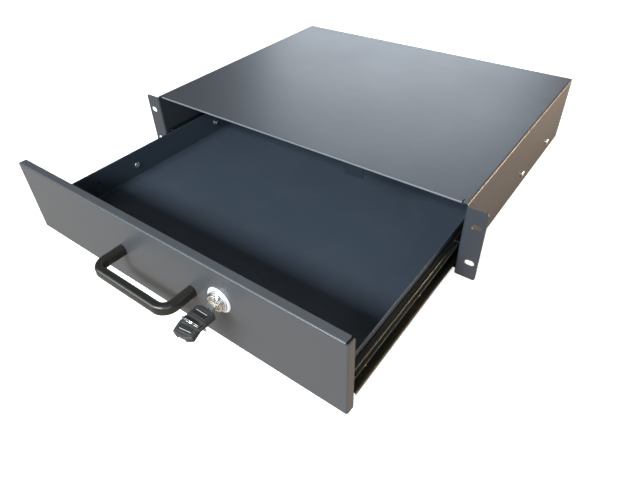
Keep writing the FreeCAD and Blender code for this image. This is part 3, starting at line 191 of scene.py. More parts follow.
# The bench glows white to the camera alone, and not within the case, whose underside is open.
paper, tree, here = new_material("pale paper")
wood = mixed(tree, noise(tree, here, 9.0, 3.0), wood_dark, wood_light)
seen = put(tree, "ShaderNodeLightPath").outputs["Is Camera Ray"]
parts = put(tree, "ShaderNodeSeparateXYZ", {"Vector": here})
past_side = ramp(tree, reckon(tree, "ABSOLUTE", parts.outputs["X"]), *side_edge)
along = reckon(tree, "SUBTRACT", parts.outputs["Y"], case_middle)
past_end = ramp(tree, reckon(tree, "ABSOLUTE", along), *end_edge)
beside_case = reckon(tree, "MAXIMUM", past_side, past_end)
lit = reckon(tree, "MULTIPLY", beside_case, seen)
close_material(tree, {"Base Color": mixed(tree, seen, wood, paper_white), "Roughness": 0.9,
                      "Emission Color": mixed(tree, lit, (0.0, 0.0, 0.0), paper_glow),
                      "Emission Strength": 1.0})
floor_mesh.materials.append(paper)


# Case. One cold-rolled steel sheet folded into top, sides, ears and narrow bottom lips, with a
# hem under its front edge and a back sheet spot-welded inside. All of it is powder coated in
# dark charcoal, a satin coat with a fine orange peel, with a painted highlight along the nose of the hem.

def effect(title, inputs, outputs):
    """A group of shader nodes with named inputs, as (name, kind, value), and named outputs."""
    group = bpy.data.node_groups.new(title, "ShaderNodeTree")
    for name, kind, value in inputs:
        socket = group.interface.new_socket(name, in_out="INPUT", socket_type=kind)
        if value is not None:
            socket.default_value = value
    for name, kind in outputs:
        group.interface.new_socket(name, in_out="OUTPUT", socket_type=kind)
    return group, group.nodes.new("NodeGroupInput"), group.nodes.new("NodeGroupOutput")


def use(tree, group, inputs):
    """Place an effect in a material."""
    return put(tree, "ShaderNodeGroup", inputs, node_tree=group)


orange_peel, gate, way_out = effect("orange peel", [
    ("Place", "NodeSocketVector", None), ("Fineness", "NodeSocketFloat", 900.0)],
    [("Height", "NodeSocketFloat"), ("Mottle", "NodeSocketFloat")])
peel = noise(orange_peel, gate.outputs["Place"], gate.outputs["Fineness"], 2.5, 0.55)
broad = noise(orange_peel, gate.outputs["Place"], 11.0, 4.0, 0.6)
orange_peel.links.new(peel, way_out.inputs["Height"])
orange_peel.links.new(broad, way_out.inputs["Mottle"])

settled_dust, gate, way_out = effect("settled dust", [("Place", "NodeSocketVector", None)],
                                     [("Mask", "NodeSocketFloat")])
facing = put(settled_dust, "ShaderNodeSeparateXYZ", {
    "Vector": put(settled_dust, "ShaderNodeNewGeometry").outputs["Normal"]})
upward = ramp(settled_dust, facing.outputs["Z"], 0.55, 0.98)
patches = ramp(settled_dust, noise(settled_dust, gate.outputs["Place"], 26.0, 6.0, 0.7), 0.50, 0.90)
grains = put(settled_dust, "ShaderNodeTexVoronoi", {"Vector": gate.outputs["Place"], "Scale": 210.0})
specks = ramp(settled_dust, grains.outputs["Distance"], 0.10, 0.05)
lying = reckon(settled_dust, "MAXIMUM", patches, specks)
settled_dust.links.new(reckon(settled_dust, "MULTIPLY", lying, upward), way_out.inputs["Mask"])


def stretched(tree, place, factors):
    """The place times a factor along each axis."""
    return put(tree, "ShaderNodeVectorMath", {0: place, 1: factors}, operation="MULTIPLY").outputs["Vector"]


handling_marks, gate, way_out = effect("handling marks", [
    ("Place", "NodeSocketVector", None), ("Stretch", "NodeSocketVector", (30.0, 260.0, 260.0))],
    [("Mask", "NodeSocketFloat")])
drawn = stretched(handling_marks, gate.outputs["Place"], gate.outputs["Stretch"])
fine = ramp(handling_marks, noise(handling_marks, drawn, 1.0, 5.0, 0.75), 0.64, 0.78)
handling_marks.links.new(fine, way_out.inputs["Mask"])


hem_end, hem_depth, hem_under = (0.2140, 0.2130), (0.0025, 0.0016), (0.0412, 0.0418)


def hem_highlight_mask(tree, here):
    """Mask of the painted highlight on the case's hem, nought away from its nose: the product of three narrow ramps."""
    parts = put(tree, "ShaderNodeSeparateXYZ", {"Vector": here})
    between = ramp(tree, reckon(tree, "ABSOLUTE", parts.outputs["X"]), *hem_end)
    forward = ramp(tree, parts.outputs["Y"], *hem_depth)
    high = ramp(tree, parts.outputs["Z"], *hem_under)
    return reckon(tree, "MULTIPLY", reckon(tree, "MULTIPLY", between, forward), high)


def relief(tree, height, strength, distance):
    """Small bumps of a height from nought to one times the distance."""
    return put(tree, "ShaderNodeBump", {
        "Height": height, "Strength": strength, "Distance": distance}).outputs["Normal"]


dust_grey = (0.30, 0.31, 0.32)


def coated(title, deep, raised, roughness, fineness=900.0, peel_height=0.00003, dust=0.05,
           shine=0.55, hem_highlight_tone=None):
    """Powder coat: two close tones in broad mottling, orange peel as bump, dust where it faces up.

    Where a hem tone is given, the coat has that lighter tone on the nose of the hem: a painted highlight.
    """
    material, tree, here = new_material(title)
    texture = use(tree, orange_peel, {"Place": here, "Fineness": fineness})
    lying = use(tree, settled_dust, {"Place": here}).outputs["Mask"]
    tone = mixed(tree, texture.outputs["Mottle"], deep, raised)
    tone = mixed(tree, reckon(tree, "MULTIPLY", lying, dust), tone, dust_grey)
    if hem_highlight_tone:
        tone = mixed(tree, hem_highlight_mask(tree, here), tone, hem_highlight_tone)
    rubbed = use(tree, handling_marks, {"Place": here}).outputs["Mask"]
    gloss = ramp(tree, texture.outputs["Mottle"], 0.3, 0.7, roughness - 0.015, roughness + 0.02)
    close_material(tree, {
        "Base Color": tone, "Roughness": reckon(tree, "MULTIPLY_ADD", rubbed, 0.06, gloss),
        "Normal": relief(tree, texture.outputs["Height"], 0.55, peel_height), "Specular IOR Level": shine})
    return material


def dress(node, material, rounding):
    """Give a CAD piece its material and turn its sharp edges into narrow rounded ones."""
    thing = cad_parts[node]
    thing.data.materials.clear()
    thing.data.materials.append(material)
    weld = thing.modifiers.new("join", "WELD")
    weld.merge_threshold = 0.000004
    edge = thing.modifiers.new("edge", "BEVEL")
    edge.width = rounding
    edge.segments = 2
    edge.limit_method = "ANGLE"
    edge.angle_limit = math.radians(35)
    edge.use_clamp_overlap = True
    shade = thing.modifiers.new("shade", "WEIGHTED_NORMAL")
    shade.weight = 50


# The case coat has a lighter tone along the nose of the hem: a painted highlight of the light on its fold.
charcoal = coated("charcoal powder coat", (0.036, 0.041, 0.050), (0.041, 0.046, 0.055), 0.42,
                  hem_highlight_tone=(0.14, 0.15, 0.17))
dress("case_shell", charcoal, 0.0005)
dress("back_panel", charcoal, 0.0002)


def rounded_loop(width, depth, corner, count):
    """Points round a rectangle with round corners: each corner's centre plus a turning radius."""
    angle = np.linspace(0.0, 2 * np.pi, count, endpoint=False) + np.pi / count
    quarter = np.floor(angle / (np.pi / 2)).astype(int) % 4
    right = np.array([1, -1, -1, 1])[quarter] * (width / 2 - corner)
    up = np.array([1, 1, -1, -1])[quarter] * (depth / 2 - corner)
    return np.stack([right + corner * np.cos(angle), up + corner * np.sin(angle)], axis=1)


def shell(grid, loop=False, ends="cap"):
    """Points and faces of a grid of rings, one ring a row.

    loop joins the last ring to the first. Otherwise the end rings get a flat face or shrink to
    a point. Faces are turned over if the volume that they enclose is negative.
    """
    rings, steps = grid.shape[:2]
    points = grid.reshape(-1, 3)
    index = np.arange(rings * steps).reshape(rings, steps)
    if ends == "point" and not loop:
        index[0, :] = index[0, 0]
        index[-1, :] = index[-1, 0]
    upper = index if loop else index[:-1]
    lower = np.roll(index, -1, axis=0) if loop else index[1:]
    quads = np.stack([upper, lower, np.roll(lower, -1, axis=1), np.roll(upper, -1, axis=1)], axis=-1)
    quads = quads.reshape(-1, 4)
    a, b, c, d = (points[quads[:, k]] for k in range(4))
    volume = np.sum(a * np.cross(b, c)) + np.sum(a * np.cross(c, d))
    if volume < 0:
        quads = quads[:, ::-1]
    used, compact = np.unique(quads, return_inverse=True)
    quads = compact.reshape(quads.shape)
    faces = []
    for quad in quads.tolist():
        corners = [corner for k, corner in enumerate(quad) if corner != quad[k - 1]]
        faces.append(corners)
    if ends == "cap" and not loop:
        for ring, outward in ((0, -1), (rings - 1, 1)):
            order = np.searchsorted(used, index[ring])[::outward]
            faces.append((order if volume >= 0 else order[::-1]).tolist()[::-1])
    return points[used], faces


def new_piece(title, shells, material, body, sharp=38.0):
    """One piece from several shells, with its material and body."""
    points, faces, start = [], [], 0
    for shell_points, shell_faces in shells:
        points.append(shell_points)
        faces.extend([[corner + start for corner in face] for face in shell_faces])
        start += len(shell_points)
    mesh = bpy.data.meshes.new(title)
    mesh.from_pydata(np.concatenate(points).tolist(), [], faces)
    mesh.polygons.foreach_set("use_smooth", np.ones(len(mesh.polygons), bool))
    mesh.set_sharp_from_angle(angle=math.radians(sharp))
    mesh.materials.append(material)
    mesh.update()
    thing = bpy.data.objects.new(title, mesh)
    bpy.context.scene.collection.objects.link(thing)
    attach(thing, body)
    return thing


# Screws. Zinc-plated steel with a domed head, a cross recess and a rolled thread. Six hold the
# case rails from outside, six hold the drawer rails from inside the tray, two hold the handle
# from behind the panel and one holds the cam.

mm = 0.001
slide_height = -23.8 * mm
lock_across, lock_height = 86.0 * mm, 9.5 * mm
leg_across, leg_height = 50 * mm, -0.6 * mm
screw_head, screw_shank, screw_head_height = 4.0 * mm, 2.0 * mm, 2.2 * mm
thread_pitch, thread_depth = 0.7 * mm, 0.28 * mm
recess_arm, recess_width, recess_depth = 4.4 * mm, 1.0 * mm, 1.3 * mm


def soft_bar(along, across, length, width):
    """One inside a bar of that length and width and nought outside, with a narrow slope between."""
    slope = 0.12 * mm
    inside = np.clip((length / 2 - np.abs(along)) / slope + 0.5, 0, 1)
    return inside * np.clip((width / 2 - np.abs(across)) / slope + 0.5, 0, 1)


def thread_wave(along, angle, pitch):
    """A saw-tooth that climbs one pitch a turn: nought in the root and one on the crest."""
    turn = (along / pitch + angle / (2 * np.pi)) % 1.0
    return np.clip(1.0 - np.abs(2 * turn - 1.0) * 1.25 + 0.1, 0, 1)


def circle(radius, angle, height):
    """Points at a radius and a height, turned through the angles. Both may vary from point to point."""
    return np.stack([radius * np.cos(angle), radius * np.sin(angle), angle * 0 + height], axis=-1)


def screw_rings(length, steps=48):
    """Rings of a pan-head screw about the third axis, the head's seat at nought.

    The head's height falls with the fourth power of the distance from the middle, less the
    cross recess. The shank's radius follows the thread's saw-tooth down to a short point.
    """
    angle = np.linspace(0, 2 * np.pi, steps, endpoint=False)
    reach = np.concatenate([np.linspace(0, 2.4 * mm, 18), np.linspace(2.7 * mm, screw_head, 6)])
    rings = []
    for radius in reach:
        x, y = radius * np.cos(angle), radius * np.sin(angle)
        dome = screw_head_height * (1 - 0.42 * (radius / screw_head) ** 4)
        cross = np.maximum(soft_bar(x, y, recess_arm, recess_width),
                           soft_bar(y, x, recess_arm, recess_width))
        depth = recess_depth * np.clip(1.15 - radius / recess_arm, 0, 1)
        rings.append(circle(radius, angle, dome - depth * cross))
    for radius, height in ((screw_head, 0.45 * screw_head_height), (0.985 * screw_head, 0.1 * mm),
                           (0.95 * screw_head, 0.0), (screw_shank, 0.0)):
        rings.append(circle(radius, angle, height))
    for depth in np.arange(0.1 * mm, length, thread_pitch / 4):
        taper = np.clip((length - depth) / (0.8 * mm), 0.55, 1)
        radius = (screw_shank - thread_depth * (1 - thread_wave(depth, angle, thread_pitch))) * taper
        rings.append(circle(radius, angle, -depth))
    rings.append(circle(0.0, angle, -length))
    return np.array(rings)


def carried_to(grid, place, outward):
    """The grid moved to a place, its third axis turned to point outward."""
    third = np.array(outward, float) / np.linalg.norm(outward)
    guide = np.array((0.0, 0.0, 1.0)) if abs(third[2]) < 0.9 else np.array((1.0, 0.0, 0.0))
    first = np.cross(guide, third)
    first /= np.linalg.norm(first)
    return grid @ np.stack([first, np.cross(third, first), third]) + np.array(place, float)


def plated(title, bright, dull, roughness, streak=(90.0, 90.0, 90.0), tarnish=0.5, metallic=1.0):
    """Bare or plated metal: bright and dull tones in fine streaks, duller where it is tarnished."""
    material, tree, here = new_material(title)
    grain = noise(tree, stretched(tree, here, streak), 6.0, 4.0, 0.6)
    tarnished = reckon(tree, "MULTIPLY", noise(tree, here, 60.0, 4.0), tarnish)
    close_material(tree, {
        "Base Color": mixed(tree, tarnished, bright, dull), "Metallic": metallic,
        "Roughness": ramp(tree, grain, 0.3, 0.7, roughness * 0.8, roughness * 1.3),
        "Normal": relief(tree, grain, 0.05, 0.00001)})
    return material


screw_zinc = plated("bright zinc plate", (0.93, 0.93, 0.95), (0.66, 0.66, 0.66), 0.26)


def screws(title, node, places, outward, length, body):
    """A group of like screws that stand for a CAD group. outward points from each head."""
    rings = screw_rings(length)
    shells = []
    for place, way in zip(places, outward):
        shells.append(shell(carried_to(rings, place, way), ends="point"))
    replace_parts(new_piece(title, shells, screw_zinc, body), node)


case_side, tray_wall, panel_back, cam_back = 220.0 * mm, 204.9 * mm, -198.4 * mm, -173.9 * mm
for title, node, across, backs, outward, length, body in (
        ("case_screws_cross_head", "case_screws", case_side, (31, 191, 287), 1, 2.4 * mm, "case"),
        ("tray_screws_cross_head", "tray_screws", tray_wall, (-163, -67, 79), -1, 7.6 * mm, "drawer")):
    places = [(side * across, back * mm, slide_height) for side in (-1, 1) for back in backs]
    ways = [(side * outward, 0, 0) for side in (-1, 1) for back in backs]
    screws(title, node, places, ways, length, body)
legs = [(side * leg_across, panel_back, leg_height) for side in (-1, 1)]
screws("handle_screws_cross_head", "handle_screws", legs, [(0, 1, 0)] * 2, 11 * mm, "drawer")
cam_middle = (lock_across, cam_back, lock_height)
screws("cam_screw_cross_head", "cam_screw", [cam_middle], [(0, 1, 0)], 6 * mm, "plug")


# Slides. Zinc-plated steel strip, roll-formed into a case member with both edges turned over
# the balls and a drawer member with a groove along each edge. A pressed cage keeps the steel
# balls apart. Grease darkens the raceways, and the cut ends are bright.

race_rise, grease_brown = 12.5 * mm, (0.11, 0.09, 0.055)


def slide_steel(title, bright, dull, roughness):
    """Rolled zinc plate: streaks along the slide, a greasy dark band by each raceway."""
    material, tree, here = new_material(title)
    grain = noise(tree, stretched(tree, here, (500.0, 5.0, 500.0)), 1.0, 4.0, 0.65)
    patches = noise(tree, here, 32.0, 5.0, 0.65)
    parts = put(tree, "ShaderNodeSeparateXYZ", {"Vector": here})
    from_middle = reckon(tree, "ABSOLUTE", reckon(tree, "SUBTRACT", parts.outputs["Z"], slide_height))
    from_race = reckon(tree, "ABSOLUTE", reckon(tree, "SUBTRACT", from_middle, race_rise))
    band = ramp(tree, from_race, 4.5 * mm, 2.0 * mm, 0.0, 0.55)
    greasy = reckon(tree, "MULTIPLY", band, patches)
    close_material(tree, {
        "Base Color": mixed(tree, greasy, mixed(tree, patches, bright, dull), grease_brown),
        "Metallic": 1.0, "Roughness": ramp(tree, grain, 0.3, 0.7, roughness * 0.75, roughness * 1.3),
        "Anisotropic": 0.3, "Normal": relief(tree, grain, 0.04, 0.00001)})
    return material


# The members' zinc is painted near black as painted shade, with a bluish and an olive tone as painted reflections.
rail_zinc_painted_shade = slide_steel("rolled zinc plate in painted shade", (0.060, 0.078, 0.086), (0.060, 0.066, 0.058), 0.46)
cage_steel = plated("bright strip steel", (0.72, 0.72, 0.72), (0.48, 0.47, 0.45), 0.22, (30.0, 400.0, 30.0))
ball_steel = plated("polished ball steel", (0.86, 0.86, 0.88), (0.60, 0.60, 0.60), 0.07)


ball_radius, ball_across, ball_rise, ball_spacing = 2.0 * mm, 214.2 * mm, 14.25 * mm, 9.6 * mm
cage_middle = 55.0 * mm


def balls(title, node, side, body):
    """Twelve balls: circles of latitude from pole to pole, in two rows along the cage."""
    angle = np.linspace(0, 2 * np.pi, 32, endpoint=False)
    tilt = np.linspace(0, np.pi, 17)[:, None]
    ball = circle(ball_radius * np.sin(tilt), angle, ball_radius * np.cos(tilt))
    shells = []
    for row in (-1, 1):
        for count in range(6):
            centre = (side * ball_across, cage_middle + (count - 2.5) * ball_spacing,
                      slide_height + row * ball_rise)
            shells.append(shell(ball + np.array(centre), ends="point"))
    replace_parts(new_piece(title, shells, ball_steel, body, 90), node)


def lug_rings(radius, height):
    """A pressed lug: a disc whose height falls off smoothly from its middle to its edge."""
    angle = np.linspace(0, 2 * np.pi, 28, endpoint=False)
    reach = np.linspace(0, 1, 9)[:, None]
    top = circle(radius * reach, angle, height * (1 - reach ** 2) ** 1.5)
    under = top[-1:] - np.array((0, 0, 0.3 * mm))
    close = under * np.array((0, 0, 1.0))
    return np.concatenate([top, under, close])


def rail_lugs(title, side, body, across, outward, backs, rises, radius, height):
    """A set of pressed lugs on the web of a slide member."""
    shells = []
    for back in backs:
        for rise in rises:
            place = (side * across, back * mm, slide_height + rise * mm)
            lug = carried_to(lug_rings(radius, height), place, (side * outward, 0, 0))
            shells.append(shell(lug, ends="point"))
    new_piece(title, shells, rail_zinc_painted_shade, body)


drawer_web, case_web = 207.3 * mm, 217.6 * mm
for name, side in (("left", -1), ("right", 1)):
    dress(f"{name}_case_rail", rail_zinc_painted_shade, 0.00015)
    dress(f"{name}_drawer_rail", rail_zinc_painted_shade, 0.00015)
    dress(f"{name}_ball_retainer", cage_steel, 0.00008)
    balls(f"{name}_slide_balls", f"{name}_balls", side, f"{name}_cage")
    rail_lugs(f"{name}_drawer_rail_lugs", side, "drawer", drawer_web, 1, (-178, -40, 20, 100), (0.0,),
              2.6 * mm, 1.1 * mm)
    rail_lugs(f"{name}_drawer_rail_ribs", side, "drawer", drawer_web, 1, (-140, -115, -90, 45), (-3.5, 3.5),
              1.5 * mm, 0.6 * mm)
    rail_lugs(f"{name}_case_rail_lugs", side, "case", case_web, -1, (212, 240, 268), (-5.0, 5.0),
              2.2 * mm, 0.7 * mm)


# Stops. A moulded black rubber block fills the back end of each case member and takes the
# blow when the drawer is pushed home.

rubber_black, rubber_bloom = (0.012, 0.012, 0.012), (0.034, 0.033, 0.031)
rubber, tree, here = new_material("black stop rubber")
close_material(tree, {
    "Base Color": mixed(tree, noise(tree, here, 70.0, 4.0), rubber_black, rubber_bloom), "Roughness": 0.75,
    "Normal": relief(tree, noise(tree, here, 1400.0, 3.0), 0.5, 0.00005)})
stop_across, stop_width, stop_height, stop_corner = 212.5 * mm, 10.0 * mm, 16.0 * mm, 1.6 * mm
stop_front, stop_back = 295.6 * mm, 305.0 * mm


def stop_rings(side):
    """A rounded block along the slide, its long sides waved by four shallow grip ribs."""
    loop = rounded_loop(stop_width, stop_height, stop_corner, 48)
    rings = []
    for share, back in zip(np.linspace(0, 1, 34), np.linspace(stop_front, stop_back, 34)):
        pinch = 1 - 0.12 * (1 - min(1, min(share, 1 - share) / 0.08)) ** 2
        wave = pinch * (1 - 0.035 * (0.5 + 0.5 * math.cos(share * 8 * math.pi)))
        rings.append(np.stack([side * stop_across + 1.04 * loop[:, 0] * pinch, np.full(48, back),
                               slide_height + loop[:, 1] * wave], axis=1))
    return np.array(rings)


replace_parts(new_piece("rubber_stops", [shell(stop_rings(-1)), shell(stop_rings(1))], rubber, "case"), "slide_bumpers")


# Catch. A bent strip of steel spot-welded under the top behind the hem, which the lock's cam turns
# up behind. Its coat is a dull blue-black: painted shade, for the shadow it lies in under the top.

strike_shade_coat = coated("catch painted shade", (0.013, 0.019, 0.027), (0.015, 0.021, 0.029), 0.85, dust=0.0,
                     shine=0.1)
dress("lock_strike", strike_shade_coat, 0.00025)


def weld_dimples(title, places, outward, radius, material, body):
    """Spot welds: a shallow crater with a raised rim, its height a ring wave that dies outwards."""
    angle = np.linspace(0, 2 * np.pi, 30, endpoint=False)
    reach = np.linspace(0, 1, 13)[:, None]
    rise = 0.06 * mm * (np.sin(reach * np.pi * 1.5 - 0.9) * (1 - reach ** 3)) + 0.05 * mm * (1 - reach ** 6)
    top = circle(radius * reach, angle, rise)
    rings = np.concatenate([top, top[-1:] - np.array((0, 0, 0.1 * mm)), top[-1:] * np.array((0, 0, 1.0))])
    rings[-1, :, 2] = -0.1 * mm
    shells = [shell(carried_to(rings, place, outward), ends="point") for place in places]
    new_piece(title, shells, material, body)


under_top, strike_weld_back, hem_weld_back = 41.9 * mm, 21.0 * mm, 6.2 * mm
weld_dimples("strike_spot_welds", [(lock_across + x * mm, strike_weld_back, under_top) for x in (-6, 6)],
             (0, 0, -1), 2.2 * mm, charcoal, "case")
weld_dimples("hem_spot_welds", [(x * mm, hem_weld_back, under_top) for x in range(-195, 200, 65)],
             (0, 0, -1), 2.0 * mm, charcoal, "case")


# Tray. Floor and side walls folded up from one steel sheet, with end plates welded in between
# them, all coated like the case but painted a bluer tone: a painted reflection of cool light. The
# front plate is bolted to the panel's studs with small flanged nuts.

# The tray coat is the case's charcoal made bluer: a painted reflection of the cool window light.
tray_coat_blue_sheen = coated("charcoal tray coat with painted blue sheen", (0.037, 0.050, 0.069), (0.042, 0.056, 0.076), 0.42, dust=0.04)
dress("tray", tray_coat_blue_sheen, 0.0003)
dress("tray_front", tray_coat_blue_sheen, 0.0002)
dress("tray_back", tray_coat_blue_sheen, 0.0002)


def bolt_rings(length, radius, pitch, depth, steps=40):
    """A threaded rod from nought down: its radius follows the thread's saw-tooth to a short point."""
    angle = np.linspace(0, 2 * np.pi, steps, endpoint=False)
    rings = [np.zeros((steps, 3))]
    for height in np.arange(0.0, length, pitch / 6):
        taper = np.clip((length - height) / pitch, 0.6, 1)
        reach = (radius - depth * (1 - thread_wave(height, angle, pitch))) * taper
        rings.append(circle(reach, angle, -height))
    rings.append(circle(0.0, angle, -length))
    return np.array(rings)


def nut_rings(across, height, bore, flange, flange_height, steps=72):
    """A nut as a closed loop of rings: bore, seat, flange, hexagon with a turned chamfer, bore.

    On the hexagon the radius is the distance to the nearest flat over the cosine of the angle
    from its middle, cut back by a cone at the top.
    """
    angle = np.linspace(0, 2 * np.pi, steps, endpoint=False)
    flat = across / 2 / np.cos((angle + np.pi / 6) % (np.pi / 3) - np.pi / 6)
    cone = across / 2 * 1.03
    rows = [(bore, 0.0), (flange, 0.0), (flange, flange_height * 0.6),
            (np.maximum(flat, flange * 0.93), flange_height), (flat, flange_height * 1.05),
            (flat, height - 0.09 * across), (np.minimum(flat, cone), height), (bore * 1.12, height),
            (bore, height - 0.06 * across)]
    turns = np.arange(height - 0.08 * across, 0.05 * across, -0.18 * mm)
    rows += [(bore - 0.12 * mm * thread_wave(rise, angle, 0.7 * mm), rise) for rise in turns]
    return np.array([circle(reach, angle, rise) for reach, rise in rows])


nut_seat = -197.2 * mm
stud_shells, nut_shells = [], []
for across in (-180 * mm, -70 * mm, 70 * mm, 180 * mm):
    stud = bolt_rings(7.0 * mm, 2.0 * mm, thread_pitch, 0.25 * mm)
    nut = nut_rings(7.0 * mm, 3.2 * mm, 2.06 * mm, 4.5 * mm, 1.0 * mm)
    stud = carried_to(stud, (across, panel_back, slide_height), (0, -1, 0))
    nut = carried_to(nut, (across, nut_seat, slide_height), (0, 1, 0))
    stud_shells.append(shell(stud, ends="point"))
    nut_shells.append(shell(nut, loop=True))
studs = new_piece("threaded_panel_studs", stud_shells, screw_zinc, "drawer")
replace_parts(studs, "panel_studs")
nuts = new_piece("flanged_panel_nuts", nut_shells, screw_zinc, "drawer")
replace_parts(nuts, "panel_nuts")


# Front panel. A shallow pan folded from steel sheet, cut away at the corners of its folds,
# coated a little lighter and smoother than the case.

panel_coat = coated("panel powder coat", (0.056, 0.060, 0.067), (0.062, 0.066, 0.073), 0.36, 820.0, 0.00002)
dress("front_panel", panel_coat, 0.00055)


# Handle. A moulded black bow with a rounded section and two bends, its legs flat on the panel
# and screwed from behind.

handle_deep, handle_raised = (0.010, 0.009, 0.007), (0.020, 0.018, 0.014)
handle_rubbed = (0.040, 0.038, 0.033)
handle_black, tree, here = new_material("black moulded handle")
texture = use(tree, orange_peel, {"Place": here, "Fineness": 1500.0})
rubbed = use(tree, handling_marks, {"Place": here, "Stretch": (40.0, 300.0, 300.0)}).outputs["Mask"]
tone = mixed(tree, texture.outputs["Mottle"], handle_deep, handle_raised)
close_material(tree, {
    "Base Color": mixed(tree, rubbed, tone, handle_rubbed),
    "Roughness": ramp(tree, texture.outputs["Mottle"], 0.3, 0.7, 0.27, 0.38),
    "Normal": relief(tree, texture.outputs["Height"], 0.35, 0.00003), "Coat Weight": 0.15,
    "Coat Roughness": 0.25})


def bow_path(half, front, reach, bend):
    """The handle's middle line: out along a leg, round a bend, along the bar and back."""
    turn = np.linspace(0, np.pi / 2, 22)
    leg = np.linspace(0, reach - bend, 12)[:-1]
    bar = np.linspace(-half + bend, half - bend, 26)[1:-1]
    corner = (bend - half, front - reach + bend)
    left = [np.stack([leg * 0 - half, front - leg], axis=1),
            np.stack([corner[0] - bend * np.cos(turn), corner[1] - bend * np.sin(turn)], axis=1)]
    straight = np.stack([bar, bar * 0 + front - reach], axis=1)
    right = [part[::-1] * np.array((-1.0, 1.0)) for part in left[::-1]]
    return np.concatenate(left + [straight] + right)


def carried(path, section, side):
    """A section carried along a path that lies in one plane. side is that plane's normal.

    Each section point goes to the path point plus its first part across the path and its
    second part along the normal.
    """
    along = np.gradient(path, axis=0)
    along /= np.linalg.norm(along, axis=1)[:, None]
    across = np.cross(along, side)
    across /= np.linalg.norm(across, axis=1)[:, None]
    side = np.array(side)
    return path[:, None, :] + section[None, :, :1] * across[:, None, :] + section[None, :, 1:] * side


panel_front, handle_reach, handle_bend = -199.6 * mm, 32.75 * mm, 11.5 * mm
handle_width, handle_thickness, handle_corner = 9.5 * mm, 12.0 * mm, 4.0 * mm
flat_path = bow_path(leg_across, panel_front, handle_reach, handle_bend)
handle_path = np.column_stack([flat_path, np.full(len(flat_path), leg_height)])
handle_section = rounded_loop(handle_width, handle_thickness, handle_corner, 56)
handle_grid = carried(handle_path, handle_section, (0.0, 0.0, 1.0))
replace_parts(new_piece("bow_handle", [shell(handle_grid)], handle_black, "drawer"), "handle")


# Lock. A die-cast chromed housing with a stepped collar, a bright domed ring between it and the
# panel, and a threaded barrel with two flats that a thin nut clamps from behind. The plug with
# its keyway turns in it and carries the cam.

chrome = plated("polished chrome", (0.84, 0.85, 0.87), (0.66, 0.66, 0.66), 0.14, tarnish=0.35)
# The domed ring is only partly metal, so its near-white base shows: a painted reflection of bright light on the chrome.
ring_satin_white_sheen = plated("satin chrome with painted white sheen", (0.90, 0.90, 0.92), (0.82, 0.82, 0.83), 0.36, tarnish=0.2, metallic=0.4)
plug_nickel = plated("warm nickel", (0.70, 0.66, 0.60), (0.46, 0.42, 0.36), 0.32, tarnish=0.8)
plug_dark = plated("darkened nickel", (0.20, 0.15, 0.10), (0.10, 0.07, 0.045), 0.35)
lock_axis = np.array((lock_across, panel_front, lock_height))


def turned(rows, centre, outward, steps=96, flats=None, thread=None):
    """A profile of (height, radius) rows turned about an axis.

    Where flats is given, radii behind the panel stop at that distance from the middle on two
    sides. Where thread is given, as pitch and depth, the same radii follow a saw-tooth.
    """
    thread_start, thread_bottom = -1.4 * mm, 7.5 * mm
    angle = np.linspace(0, 2 * np.pi, steps, endpoint=False)
    rings = []
    for height, radius in rows:
        reach = np.full(steps, radius)
        outside = height < thread_start and radius > thread_bottom
        if thread and outside:
            reach = reach - thread[1] * (1 - thread_wave(height, angle, thread[0]))
        if flats and outside:
            reach = np.minimum(reach, flats / np.maximum(np.abs(np.cos(angle)), 0.2))
        rings.append(circle(reach, angle, height))
    return carried_to(np.array(rings), centre, outward)


def softened(corners, radius, count=5):
    """The corners of a profile, each inner one replaced by points on a small curve inside it."""
    corners = np.array(corners, float)
    rows = [corners[0]]
    for before, corner, after in zip(corners, corners[1:], corners[2:]):
        start = corner + (before - corner) * min(0.45, radius / np.linalg.norm(before - corner))
        end = corner + (after - corner) * min(0.45, radius / np.linalg.norm(after - corner))
        share = np.linspace(0, 1, count)[:, None]
        rows.extend((1 - share) ** 2 * start + 2 * share * (1 - share) * corner + share ** 2 * end)
    rows.append(corners[-1])
    return rows


barrel_radius, barrel_flats, barrel_thread = 9.0 * mm, 8.0 * mm, (1.0 * mm, 0.3 * mm)
panel_sheet = 1.2 * mm
collar = softened(np.array([(6.3, 6.75), (6.3, 8.3), (5.8, 8.9), (4.6, 8.9), (4.4, 9.3), (4.1, 10.0),
                            (1.9, 10.0), (1.8, 9.0)]) * mm, 0.35 * mm)
barrel = [(height, barrel_radius) for height in np.arange(1.0 * mm, -22.4 * mm, -0.2 * mm)]
bore = [(-22.5 * mm, 8.5 * mm), (-22.5 * mm, 6.85 * mm), (-22.3 * mm, 6.68 * mm), (5.9 * mm, 6.68 * mm)]
housing_grid = turned(collar + barrel + bore, lock_axis, (0, -1, 0), 96, barrel_flats, barrel_thread)
housing = new_piece("lock_housing", [shell(housing_grid, loop=True)], chrome, "drawer")
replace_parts(housing, "lock_body")

dome = softened(np.array([(0.0, 9.25), (0.0, 13.5), (0.55, 13.5), (1.4, 13.0), (1.8, 12.2), (1.75, 11.5),
                          (0.7, 11.0), (0.6, 9.25)]) * mm, 0.5 * mm)
dome_ring = shell(turned(dome, lock_axis, (0, -1, 0), 120), loop=True)
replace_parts(new_piece("lock_dome_ring", [dome_ring], ring_satin_white_sheen, "drawer"), "lock_bezel")

nut = nut_rings(24.0 * mm, 4.0 * mm, 9.06 * mm, 11.9 * mm, 0.3 * mm, 96)
back_nut = shell(carried_to(nut, lock_axis + (0, panel_sheet, 0), (0, 1, 0)), loop=True)
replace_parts(new_piece("lock_back_nut", [back_nut], screw_zinc, "drawer"), "lock_nut")

strip_zinc = plated("zinc plated strip", (0.66, 0.67, 0.69), (0.42, 0.42, 0.41), 0.32, (20.0, 300.0, 300.0))
dress("lock_plug", plug_nickel, 0.00015)
dress("lock_cam", strip_zinc, 0.0003)


